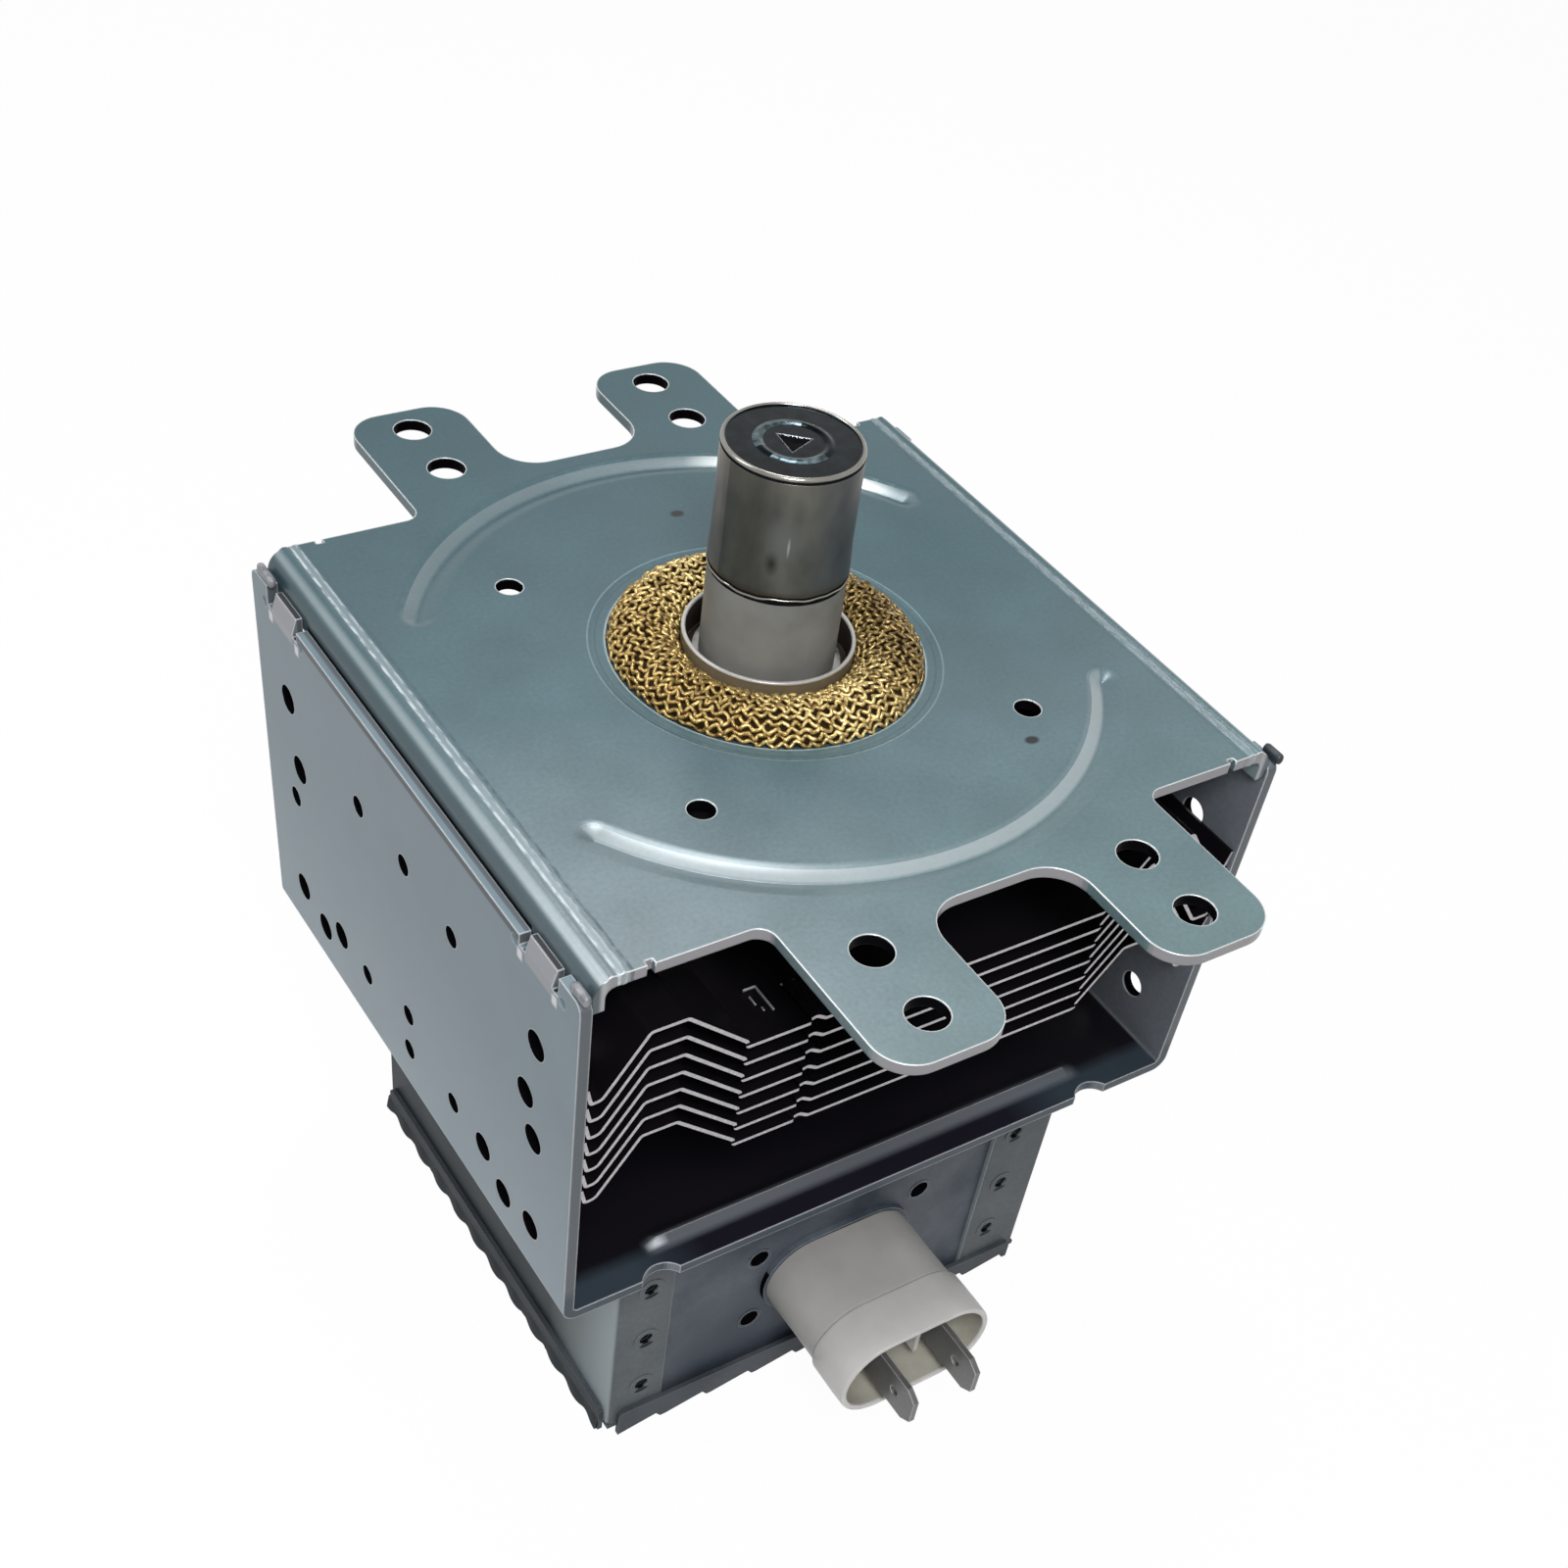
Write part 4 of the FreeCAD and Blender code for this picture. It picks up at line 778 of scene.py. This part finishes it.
CERAMIC = dry_solid("tube_ceramic", (0.180, 0.178, 0.166), (0.225, 0.222, 0.208), 0.5,
                    grain=4 * MM, specular=0.3)
SLEEVE = sleeve_steel()
CAP_RIM = plain_metal("cap_rim", (0.20, 0.19, 0.17), (0.28, 0.27, 0.25), 0.22, grain=3 * MM)
CAP_TOP_DARK_REFLECTION = plain_metal("cap_top_dark_reflection", (0.001, 0.002, 0.003), (0.008, 0.015, 0.019), 0.14, grain=1.3 * MM)
CAP_OUTLINE_HIGHLIGHT = plain_metal("cap_outline_highlight", (0.16, 0.18, 0.19), (0.34, 0.36, 0.38), 0.3, grain=1.5 * MM)
CAP_RING_HIGHLIGHT = plain_metal("cap_ring_highlight", (0.006, 0.012, 0.016), (0.13, 0.18, 0.20), 0.24, grain=0.9 * MM)
SHADE = dry_solid("deep_shade", (0.006, 0.006, 0.007), (0.010, 0.010, 0.011), 0.8, specular=0.0)
PLASTIC = socket_plastic()
PLASTIC_INSIDE = dry_solid("socket_inside", (0.340, 0.330, 0.275), (0.430, 0.420, 0.360), 0.5,
                           grain=3 * MM, specular=0.2)
# Blade edges are painted bright, as wear and as painted highlight.
BLADE = Sheet("blade_metal", (0.110, 0.110, 0.112), (0.165, 0.165, 0.165),
              0.35, 0.4, 0.4, 0.22).finish((0.60, 0.60, 0.58))
WIRE = knit_wire()
KNIT_SHADE_CORE = dry_solid("gasket_shade_core", (0.016, 0.010, 0.003), (0.026, 0.016, 0.005), 0.7, specular=0.05)

DRESSED = (
    (PLATE, "mounting_plate"),
    (YOKE, "yoke_frame"),
    (BOX, "filter_box"),
    (PANEL, "filter_front_panel", "feedthrough_flange"),
    (COVER, "filter_cover"),
    (RIVET, "clinch_rivets"),
    (MAGNET, "upper_magnet", "lower_magnet", "choke_core_left", "choke_core_right"),
    (KNIT_SHADE_CORE, "rf_gasket"),
    (COLLAR, "gasket_collar"),
    (SHADE, "antenna_seal_cup"),
    (SEAL, "upper_seal_cup", "lower_seal_cup"),
    (DARK_METAL, "upper_pole_piece", "lower_pole_piece", "cathode_filament", "cathode_upper_hat",
     "cathode_lower_hat", "cathode_leads", "stem_terminals"),
    (SLEEVE, "antenna_cap"),
    (CERAMIC, "antenna_ceramic", "stem_ceramic", "capacitor_ceramic"),
    (COPPER, "anode_cylinder", "anode_vanes", "strap_rings", "exhaust_tube", "antenna_lead",
     "choke_coil_left", "choke_coil_right"),
    (PLASTIC, "feedthrough_housing", "feedthrough_inner_case"),
    (BLADE, "terminal_tab_left", "terminal_tab_right"),
)


def dress_nodes():
    material_of = {name: material for material, *names in DRESSED for name in names}
    for name, piece in nodes_of.items():
        material = FIN if name.startswith("cooling_fin") else material_of[name]
        piece.data.materials.clear()
        piece.data.materials.append(material)


# Mesh helpers

def finish_mesh(bm, name, materials, smooth=True):
    mesh = bpy.data.meshes.new(name)
    bm.to_mesh(mesh)
    bm.free()
    piece = bpy.data.objects.new(name, mesh)
    bpy.context.scene.collection.objects.link(piece)
    for material in materials:
        mesh.materials.append(material)
    for face in mesh.polygons:
        face.use_smooth = smooth
    return piece


def mount_piece(piece, slot, *stands_for):
    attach(piece, "root")
    if stands_for:
        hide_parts(*stands_for)


def bridge(bm, first, second, material=0):
    """Quads between two closed rings of the same length."""
    count = len(first)
    for k in range(count):
        face = bm.faces.new((first[k], first[(k + 1) % count], second[(k + 1) % count], second[k]))
        face.material_index = material


def revolve(bm, profile, segments=96, lift=None):
    """Turn (radius, height, material) points in millimetres about Z; lift adds to each point's height."""
    last = None
    for radius, height, material in profile:
        ring = []
        for k in range(segments):
            turn = 2 * math.pi * k / segments
            z = height + (lift(radius, height, turn) if lift else 0)
            ring.append(bm.verts.new((radius * math.cos(turn) * MM, radius * math.sin(turn) * MM, z * MM)))
        if last:
            bridge(bm, last, ring, material)
        last = ring
    return last


def tube_mesh(bm, points, radius, sides):
    """Open tube along the points, with as many flat sides as asked."""
    rings = []
    last = len(points) - 1
    for i, point in enumerate(points):
        run = (points[min(last, i + 1)] - points[max(0, i - 1)]).normalized()
        side = run.cross(Vector((0, 0, 1)))
        side = side.normalized() if side.length > 1e-6 else Vector((1, 0, 0))
        up = side.cross(run)
        ring = []
        for k in range(sides):
            turn = 2 * math.pi * (k + 0.5) / sides
            ring.append(bm.verts.new(point + radius * (math.cos(turn) * side + math.sin(turn) * up)))
        rings.append(ring)
    for first, second in zip(rings, rings[1:]):
        bridge(bm, first, second)


def block(bm, low, high, rounding, material=0):
    """Box between two corners in millimetres, its edges rounded."""
    size = [(b - a) * MM for a, b in zip(low, high)]
    middle = Vector([(a + b) / 2 * MM for a, b in zip(low, high)])
    placed = Matrix.Translation(middle) @ Matrix.Diagonal((*size, 1))
    verts = bmesh.ops.create_cube(bm, size=1.0, matrix=placed)["verts"]
    edges = list({edge for vert in verts for edge in vert.link_edges})
    faces = {face for vert in verts for face in vert.link_faces}
    bevelled = bmesh.ops.bevel(bm, geom=edges, offset=rounding * MM, segments=2, profile=0.5, affect="EDGES")
    for face in faces | set(bevelled["faces"]):
        if face.is_valid:
            face.material_index = material


# Knitted gasket: rows of squiggling wire over a dark core, painted shade between the wires

GASKET_MID_R = 14.2 * MM
GASKET_HALF = 3.95 * MM
GASKET_CROWN = 2.65 * MM
GASKET_FOOT = -0.40 * MM
GASKET_FLATNESS = 0.8
ROWS = 12
WAVES = 66
QUARTERS = 4
CURVE_STEPS = 3
WAVE_HALF = 0.040
WAVE_SPREAD = (0.4, 1.4)
TURN_JITTER = 0.48
ROW_JITTER = 0.008
LIFT_SPREAD = (-0.26, 0.16)
ROW_EDGE = 0.01
WIRE_R = 0.245 * MM
WIRE_SIDES = 5
CORE_LIFT = -0.30 * MM
CORE_STEPS = 24


def gasket_point(around, across, lift):
    """Point on the knitted ring: around is the turn in radians, across goes 0..1 from outside in."""
    arc = math.pi * across
    out = GASKET_MID_R + (GASKET_HALF + lift) * math.cos(arc)
    up = GASKET_FOOT + (GASKET_CROWN + lift) * math.sin(arc) ** GASKET_FLATNESS
    return Vector((out * math.cos(around), out * math.sin(around), up))


def knit_row(index):
    """One squiggling wire round the ring: jittered quarter-wave points, (turn, across, lift) each."""
    count = WAVES * QUARTERS
    start = random.uniform(0, QUARTERS)
    points = []
    for k in range(count):
        swing = (0, 1, 0, -1)[k % QUARTERS] * random.uniform(*WAVE_SPREAD)
        turn = 2 * math.pi * (k + start + random.uniform(-TURN_JITTER, TURN_JITTER)) / count
        across = (index + 0.5) / ROWS + WAVE_HALF * swing + random.uniform(-ROW_JITTER, ROW_JITTER)
        across = min(1 - ROW_EDGE, max(ROW_EDGE, across))
        points.append((turn, across, random.uniform(*LIFT_SPREAD) * MM))
    return points


def curve_through(points):
    """Closed smooth curve through (turn, across, lift) points."""
    count = len(points)
    whole = 2 * math.pi
    for k in range(count):
        near = []
        for step in (-1, 0, 1, 2):
            turn, across, lift = points[(k + step) % count]
            near.append(Vector((turn + whole * ((k + step) // count), across, lift)))
        for i in range(CURVE_STEPS):
            t = i / CURVE_STEPS
            yield 0.5 * (2 * near[1] + (near[2] - near[0]) * t
                         + (2 * near[0] - 5 * near[1] + 4 * near[2] - near[3]) * t * t
                         + (3 * near[1] - near[0] - 3 * near[2] + near[3]) * t * t * t)


def knitted_gasket():
    bm = bmesh.new()
    for index in range(ROWS):
        path = [gasket_point(*place) for place in curve_through(knit_row(index))]
        tube_mesh(bm, path + path[:1], WIRE_R, WIRE_SIDES)
    knit = finish_mesh(bm, "gasket_knit", [WIRE])
    mount_piece(knit, "gasket_wire", "rf_gasket")


def gasket_shade_core():
    bm = bmesh.new()
    profile = []
    for i in range(CORE_STEPS + 1):
        point = gasket_point(0, ROW_EDGE + (1 - 2 * ROW_EDGE) * i / CORE_STEPS, CORE_LIFT)
        profile.append((point.x / MM, point.z / MM, 0))
    revolve(bm, profile)
    mount_piece(finish_mesh(bm, "gasket_shade_core", [KNIT_SHADE_CORE]), "gasket_wire")


# Antenna cap: sleeve, polished rim and a sunk top painted dark as a dark reflection, with a pressed ring and
# triangle.
# Foot waves are height, count round the sleeve and start of each ripple in its cut.

CAP_SKIN, CAP_POLISHED, CAP_DARK, CAP_GLEAM, CAP_SHADE, CAP_OUTLINE = range(6)
CAP_MATERIALS = [SLEEVE, CAP_RIM, CAP_TOP_DARK_REFLECTION, CAP_RING_HIGHLIGHT, SHADE, CAP_OUTLINE_HIGHLIGHT]
CAP_FOOT = 11.22
CAP_TOP_Z = 26.0
CAP_SEGMENTS = 144
CAP_RINGS = 75
FOOT_WAVES = ((0.13, 3, 1.0), (0.09, 8, 0.0), (0.05, 19, 0.0))
FOOT_WAVE_REACH = 1.0
FOOT_WAVE_MIN_R = 7
DISH_Z = 25.72
DISH_R = 7.28
RING_R = 3.85
RING_HALF = 0.65
RING_RISE = 0.16
RING_LIT_SHARE = 0.9
TRIANGLE_R = 1.98
TRIANGLE_TURN = math.radians(353)
TRIANGLE_DEPTH = 0.62
TRIANGLE_RIM = 0.10
TRIANGLE_LIP = 0.05
TRIANGLE_LINE = (0.09, 0.20)
# Arcs of the pressed ring painted as highlight: middle turn and cosine limit of each
ARCS = ((math.radians(108), 0.45), (math.radians(-112), 0.70))


def cap_wave(radius, height, turn):
    """The sleeve's foot is not cut quite true."""
    share = max(0.0, 1 - (height - CAP_FOOT) / FOOT_WAVE_REACH) if radius > FOOT_WAVE_MIN_R else 0.0
    return share * sum(size * math.sin(count * turn + start) for size, count, start in FOOT_WAVES)


def cap_profile():
    sleeve = [(7.45, CAP_FOOT + 0.3), (7.50, CAP_FOOT), (7.92, CAP_FOOT)]
    lip = [(8.03, CAP_FOOT + 0.08), (8.05, CAP_FOOT + 0.20), (7.97, CAP_FOOT + 0.30)]
    neck = [(7.87, CAP_FOOT + 0.35), (7.87, CAP_FOOT + 0.52)]
    body = [(7.96, CAP_FOOT + 0.62), (7.95, 12.6), (7.88, 14.0), (7.82, 15.0), (7.80, 18.0), (7.80, 21.5),
            (7.80, 25.14), (7.78, 25.22)]
    groove = [(7.67, 25.28), (7.67, 25.42)]
    rim = [(7.75, 25.48), (7.79, 25.56), (7.80, 25.64), (7.78, 25.76), (7.70, 25.88), (7.59, 25.97),
           (7.50, CAP_TOP_Z), (7.41, 25.96), (7.34, 25.86)]
    dish = [(DISH_R, DISH_Z)]
    stretches = ((sleeve, CAP_SKIN), (lip, CAP_POLISHED), (neck, CAP_SHADE), (body, CAP_SKIN),
                 (groove, CAP_SHADE), (rim, CAP_POLISHED), (dish, CAP_DARK))
    return [(radius, height, material) for points, material in stretches for radius, height in points]


def triangle_gap(x, y):
    """How far a point lies outside the pressed triangle; negative inside."""
    sides = [TRIANGLE_TURN + math.pi + 2 * math.pi * i / 3 for i in range(3)]
    return max(math.cos(side) * x + math.sin(side) * y for side in sides) - TRIANGLE_R / 2


def cap_top_height(x, y):
    radius = math.hypot(x, y)
    ridge = max(0.0, 1 - abs(radius - RING_R) / RING_HALF)
    height = DISH_Z + RING_RISE * ridge * ridge * (3 - 2 * ridge)
    gap = triangle_gap(x, y)
    if gap < -TRIANGLE_RIM:
        return height - TRIANGLE_DEPTH
    if gap < TRIANGLE_RIM:
        return height - TRIANGLE_DEPTH * (TRIANGLE_RIM - gap) / (2 * TRIANGLE_RIM) + TRIANGLE_LIP
    return height


def cap_top_material(x, y):
    """Painted black shade in the triangle with a painted highlight outline; the pressed ring carries a
    painted highlight behind and in front.
    """
    gap = triangle_gap(x, y)
    if gap < TRIANGLE_LINE[0]:
        return CAP_SHADE
    if gap < TRIANGLE_LINE[1]:
        return CAP_OUTLINE
    turn = math.atan2(y, x)
    lit = any(math.cos(turn - middle) > limit for middle, limit in ARCS)
    on_ring = abs(math.hypot(x, y) - RING_R) < RING_LIT_SHARE * RING_HALF
    return CAP_GLEAM if lit and on_ring else CAP_DARK


def antenna_cap():
    bm = bmesh.new()
    ring = revolve(bm, cap_profile(), CAP_SEGMENTS, cap_wave)
    for i in range(1, CAP_RINGS):
        radius = DISH_R * (1 - i / CAP_RINGS)
        inner = []
        for k in range(CAP_SEGMENTS):
            turn = 2 * math.pi * k / CAP_SEGMENTS
            x, y = radius * math.cos(turn), radius * math.sin(turn)
            inner.append(bm.verts.new((x * MM, y * MM, cap_top_height(x, y) * MM)))
        for k in range(CAP_SEGMENTS):
            beside = (k + 1) % CAP_SEGMENTS
            face = bm.faces.new((ring[k], ring[beside], inner[beside], inner[k]))
            centre = face.calc_center_median() / MM
            face.material_index = cap_top_material(centre.x, centre.y)
        ring = inner
    bm.faces.new(ring).material_index = CAP_SHADE
    mount_piece(finish_mesh(bm, "antenna_cap_skin", CAP_MATERIALS), "cap_steel", "antenna_cap")


# Oval socket of the feed-through

MOULDED, MOUTH_INSIDE, BLADE_SLOT = range(3)
PANEL_FACE = -33.15
SOCKET_Z = -75.9
SOCKET_WIDTH = 22.4
SOCKET_HEIGHT = 12.9
SOCKET_LENGTH = 19.6
SOCKET_STEP_AT = 12.4
SOCKET_STEP = 0.45
SOCKET_WALL = 0.85
SOCKET_FLOOR_AT = 5.6
SOCKET_CREASE = math.radians(40)
OVAL_STEPS = 28
BLADE_X = (-4.9, 4.9)
GUIDE_OFFSET = 2.3
GUIDE_HALF_T = 0.35
GUIDE_HALF_H = 3.5
GUIDE_SET_BACK = 3.0
GUIDE_SINK = 0.1
GUIDE_ROUNDING = 0.12
SLOT_HALF_T = 0.55
SLOT_HALF_H = 1.9
SLOT_RISE = 0.18
SLOT_ROUNDING = 0.05


def oval_ring(bm, offset, reach):
    """Closed ring of the socket's outline grown by offset, reach millimetres in front of the panel."""
    radius = SOCKET_HEIGHT / 2 + offset
    straight = (SOCKET_WIDTH - SOCKET_HEIGHT) / 2
    ring = []
    for side in (1, -1):
        for i in range(OVAL_STEPS + 1):
            turn = math.pi * (i / OVAL_STEPS - 0.5) + (0 if side > 0 else math.pi)
            x = side * straight + radius * math.cos(turn)
            z = SOCKET_Z + radius * math.sin(turn)
            ring.append(bm.verts.new((x * MM, (PANEL_FACE - reach) * MM, z * MM)))
    return ring


def loft(bm, rows):
    last = None
    for offset, reach, material in rows:
        ring = oval_ring(bm, offset, reach)
        if last:
            bridge(bm, last, ring, material)
        last = ring
    return last


def socket_rows():
    """The socket's section as (offset, reach, material), out from the panel and back in to its floor."""
    end, step, turn = SOCKET_LENGTH, SOCKET_STEP, SOCKET_STEP_AT
    mouth = step - SOCKET_WALL
    outside = [(0, -1.0), (0, 0.4), (0, 3.0), (-0.05, 8.0), (0, turn - 0.2), (0.04, turn - 0.05),
               (step - 0.10, turn + 0.10), (step, turn + 0.30), (step + 0.05, end - 2.5),
               (step, end - 0.30), (step - 0.08, end - 0.09), (step - 0.25, end)]
    lip = [(mouth + 0.18, end), (mouth + 0.04, end - 0.10), (mouth, end - 0.35)]
    deep = [(mouth - 0.1, turn + 0.2), (-SOCKET_WALL - 0.2, turn - 0.4),
            (-SOCKET_WALL - 0.3, SOCKET_FLOOR_AT + 0.3), (-SOCKET_WALL - 0.6, SOCKET_FLOOR_AT)]
    return [(o, r, MOULDED) for o, r in outside + lip] + [(o, r, MOUTH_INSIDE) for o, r in deep]


def oval_socket():
    bm = bmesh.new()
    floor_ring = loft(bm, socket_rows())
    bm.faces.new(floor_ring).material_index = MOUTH_INSIDE
    front = PANEL_FACE - SOCKET_LENGTH + GUIDE_SET_BACK
    floor = PANEL_FACE - SOCKET_FLOOR_AT + GUIDE_SINK
    for x in BLADE_X:
        left = x - GUIDE_OFFSET
        block(bm, (left - GUIDE_HALF_T, front, SOCKET_Z - GUIDE_HALF_H),
              (left + GUIDE_HALF_T, floor, SOCKET_Z + GUIDE_HALF_H), GUIDE_ROUNDING, MOULDED)
        block(bm, (x - SLOT_HALF_T, floor - SLOT_RISE, SOCKET_Z - SLOT_HALF_H),
              (x + SLOT_HALF_T, floor, SOCKET_Z + SLOT_HALF_H), SLOT_ROUNDING, BLADE_SLOT)
    socket = finish_mesh(bm, "socket_shell", [PLASTIC, PLASTIC_INSIDE, SHADE])
    split = socket.modifiers.new("crisp", "EDGE_SPLIT")
    split.split_angle = SOCKET_CREASE
    mount_piece(socket, "socket_plastic", "feedthrough_housing")


# Small lugs at the walls' corners: side, middle, length and height of each

WALL_OUT = 45.66
LUG_T = 1.0
LUG_TALL = 1.35
LUG_ROUNDING = 0.46
LUGS = ((-1, -38.9, 3.0, -1.5), (-1, 36.4, 4.0, -1.7), (1, -38.9, 3.0, -1.5))


def corner_lugs():
    bm = bmesh.new()
    for side, y, length, z in LUGS:
        x0, x1 = sorted((side * (WALL_OUT - LUG_T), side * WALL_OUT))
        low = (x0, y - length / 2, z - LUG_TALL / 2)
        high = (x1, y + length / 2, z + LUG_TALL / 2)
        block(bm, low, high, LUG_ROUNDING)
    mount_piece(finish_mesh(bm, "corner_lugs", [LUG]), "zinc_steel")


# Wavy edge of the cover's side bands

BAND_X = 35.06
CRIMP_HALF = 32.4
CRIMP_TOP = -92.0
CRIMP_BEND = -93.0
CRIMP_FOOT = -94.40
CRIMP_DEPTH = 0.7
CRIMP_FLARE = 0.42
CRIMP_INSIDE = 0.4
CRIMP_CHAMFER = (0.15, 0.1)
CRIMP_TEETH = 11
CRIMP_STEPS = 176


def crimp_section(share):
    """Section of the edge at a share of its length, as (x, z) points; it flares most where it is lowest."""
    wave = 0.5 + 0.5 * math.cos(2 * math.pi * CRIMP_TEETH * share)
    foot = CRIMP_FOOT + CRIMP_DEPTH * (1 - wave) ** 2
    flare = CRIMP_FLARE * (0.5 + 0.5 * wave)
    out, inside = BAND_X + flare, BAND_X - CRIMP_INSIDE
    cut_in, cut_up = CRIMP_CHAMFER
    return [(BAND_X, CRIMP_TOP), (BAND_X + 0.5 * flare, CRIMP_BEND), (out, foot + cut_up),
            (out - cut_in, foot), (inside, foot), (inside, CRIMP_TOP)]


def crimped_edge():
    """The cover's side bands end in a wavy, slightly flared edge."""
    bm = bmesh.new()
    for side in (-1, 1):
        last = None
        for i in range(CRIMP_STEPS + 1):
            share = i / CRIMP_STEPS
            y = CRIMP_HALF * (2 * share - 1)
            ring = [bm.verts.new((side * x * MM, y * MM, z * MM)) for x, z in crimp_section(share)]
            if last:
                bridge(bm, last, ring)
            else:
                bm.faces.new(ring)
            last = ring
        bm.faces.new(last)
    bmesh.ops.recalc_face_normals(bm, faces=bm.faces)
    mount_piece(finish_mesh(bm, "crimped_edge", [COVER], False), "zinc_steel")


# Lanced mark on the first fin, painted as a highlight: each stroke's x, y and height limits, from the mark's
# middle

MARK_AT = (-20.2, -34.3, -17.62)
MARK_STROKES = (
    ((-0.85, 0.75), (1.9, 2.1), 0.35),
    ((0.6, 0.8), (-1.9, 2.0), 0.35),
    ((-0.75, -0.55), (-0.4, 1.0), 0.2),
    ((-0.35, -0.15), (-1.5, -0.9), 0.2),
)
MARK_ROUNDING = 0.05


def fin_mark():
    bm = bmesh.new()
    x, y, z = MARK_AT
    for (x0, x1), (y0, y1), tall in MARK_STROKES:
        block(bm, (x + x0, y + y0, z), (x + x1, y + y1, z + tall), MARK_ROUNDING)
    mount_piece(finish_mesh(bm, "fin_mark", [FIN_MARK_HIGHLIGHT]), "fin_aluminium")


# Light, floor and camera. A lamp is its name, place, target, size and power.

WORLD_FILL = 0.15
FLOOR_GLOW = 0.97
FLOOR_HALF = 3.0
FLOOR_DROP = 0.2 * MM
LAMPS = (
    ("front", (-0.12, -0.23, 0.26), (-0.01, -0.03, 0), (0.12, 0.12), 1.12),
    ("overhead", (0.045, 0.115, 0.42), (0, 0, 0), (0.14, 0.14), 1.00),
    ("left", (-0.40, 0.26, 0.40), (0, 0, -0.02), (0.09, 0.36), 1.30),
)


def backdrop_share(tree):
    """1 for camera, glossy and transmission rays."""
    path = tree.nodes.new("ShaderNodeLightPath")
    either = math_node(tree, "MAXIMUM", path.outputs["Is Camera Ray"], path.outputs["Is Glossy Ray"])
    return math_node(tree, "MAXIMUM", either, path.outputs["Is Transmission Ray"])


def mix_surface(tree, share, hidden, shown, output):
    """Join two shaders by the share of the shown one, and link them to the output."""
    mix = tree.nodes.new("ShaderNodeMixShader")
    tree.links.new(share, mix.inputs[0])
    tree.links.new(hidden.outputs[0], mix.inputs[1])
    tree.links.new(shown.outputs[0], mix.inputs[2])
    tree.links.new(mix.outputs[0], tree.nodes[output].inputs["Surface"])


def floor_material():
    """White floor that keeps a faint shadow for the camera."""
    material, tree, shader = new_material("pale_floor", (0.93, 0.93, 0.93), 0.0, 0.9, 0.0)
    glow = tree.nodes.new("ShaderNodeEmission")
    glow.inputs["Color"].default_value = (1, 1, 1, 1)
    glow.inputs["Strength"].default_value = 1.0
    share = math_node(tree, "MULTIPLY", backdrop_share(tree), FLOOR_GLOW)
    mix_surface(tree, share, shader, glow, "Material Output")
    return material


def add_floor():
    bm = bmesh.new()
    z = cad_box[0][2] - FLOOR_DROP
    corners = ((-1, -1), (1, -1), (1, 1), (-1, 1))
    bm.faces.new([bm.verts.new((x * FLOOR_HALF, y * FLOOR_HALF, z)) for x, y in corners])
    floor = finish_mesh(bm, "floor", [floor_material()], False)


def add_world():
    world = bpy.data.worlds.new("studio")
    bpy.context.scene.world = world
    world.use_nodes = True
    tree = world.node_tree
    shown = tree.nodes["Background"]
    fill = tree.nodes.new("ShaderNodeBackground")
    for shade, strength in ((shown, 1.0), (fill, WORLD_FILL)):
        shade.inputs["Color"].default_value = (1, 1, 1, 1)
        shade.inputs["Strength"].default_value = strength
    mix_surface(tree, backdrop_share(tree), fill, shown, "World Output")


def add_lights():
    for name, place, target, size, power in LAMPS:
        lamp = bpy.data.lights.new(name, "AREA")
        lamp.shape = "RECTANGLE"
        lamp.size, lamp.size_y = size
        lamp.energy = power
        light = bpy.data.objects.new(name, lamp)
        light.location = place
        light.rotation_euler = (Vector(target) - Vector(place)).to_track_quat("-Z", "Y").to_euler()
        bpy.context.scene.collection.objects.link(light)


def add_camera():
    azimuth, elevation, roll = (math.radians(a) for a in (VIEW_AZIMUTH, VIEW_ELEVATION, VIEW_ROLL))
    back = Vector((math.sin(azimuth) * math.cos(elevation), -math.cos(azimuth) * math.cos(elevation),
                   math.sin(elevation)))
    level = Vector((math.cos(azimuth), math.sin(azimuth), 0))
    upright = back.cross(level)
    right = math.cos(roll) * level + math.sin(roll) * upright
    up = math.cos(roll) * upright - math.sin(roll) * level
    place = VIEW_OFFSET[0] * right + VIEW_OFFSET[1] * up + VIEW_OFFSET[2] * back
    data = bpy.data.cameras.new("camera")
    data.sensor_width = SENSOR
    data.lens = LENS
    data.clip_start = 0.01
    data.shift_x = 0.5 - PRINCIPAL_PIXEL[0] / IMAGE_SIZE
    data.shift_y = PRINCIPAL_PIXEL[1] / IMAGE_SIZE - 0.5
    camera = bpy.data.objects.new("camera", data)
    turn = Matrix((right, up, back)).transposed()
    camera.matrix_world = Matrix.Translation(place) @ turn.to_4x4()
    bpy.context.scene.collection.objects.link(camera)
    bpy.context.scene.camera = camera


dress_nodes()
knitted_gasket()
gasket_shade_core()
antenna_cap()
oval_socket()
corner_lugs()
fin_mark()
crimped_edge()
add_floor()
add_world()
add_lights()
add_camera()
bpy.context.scene.view_settings.view_transform = "Standard"
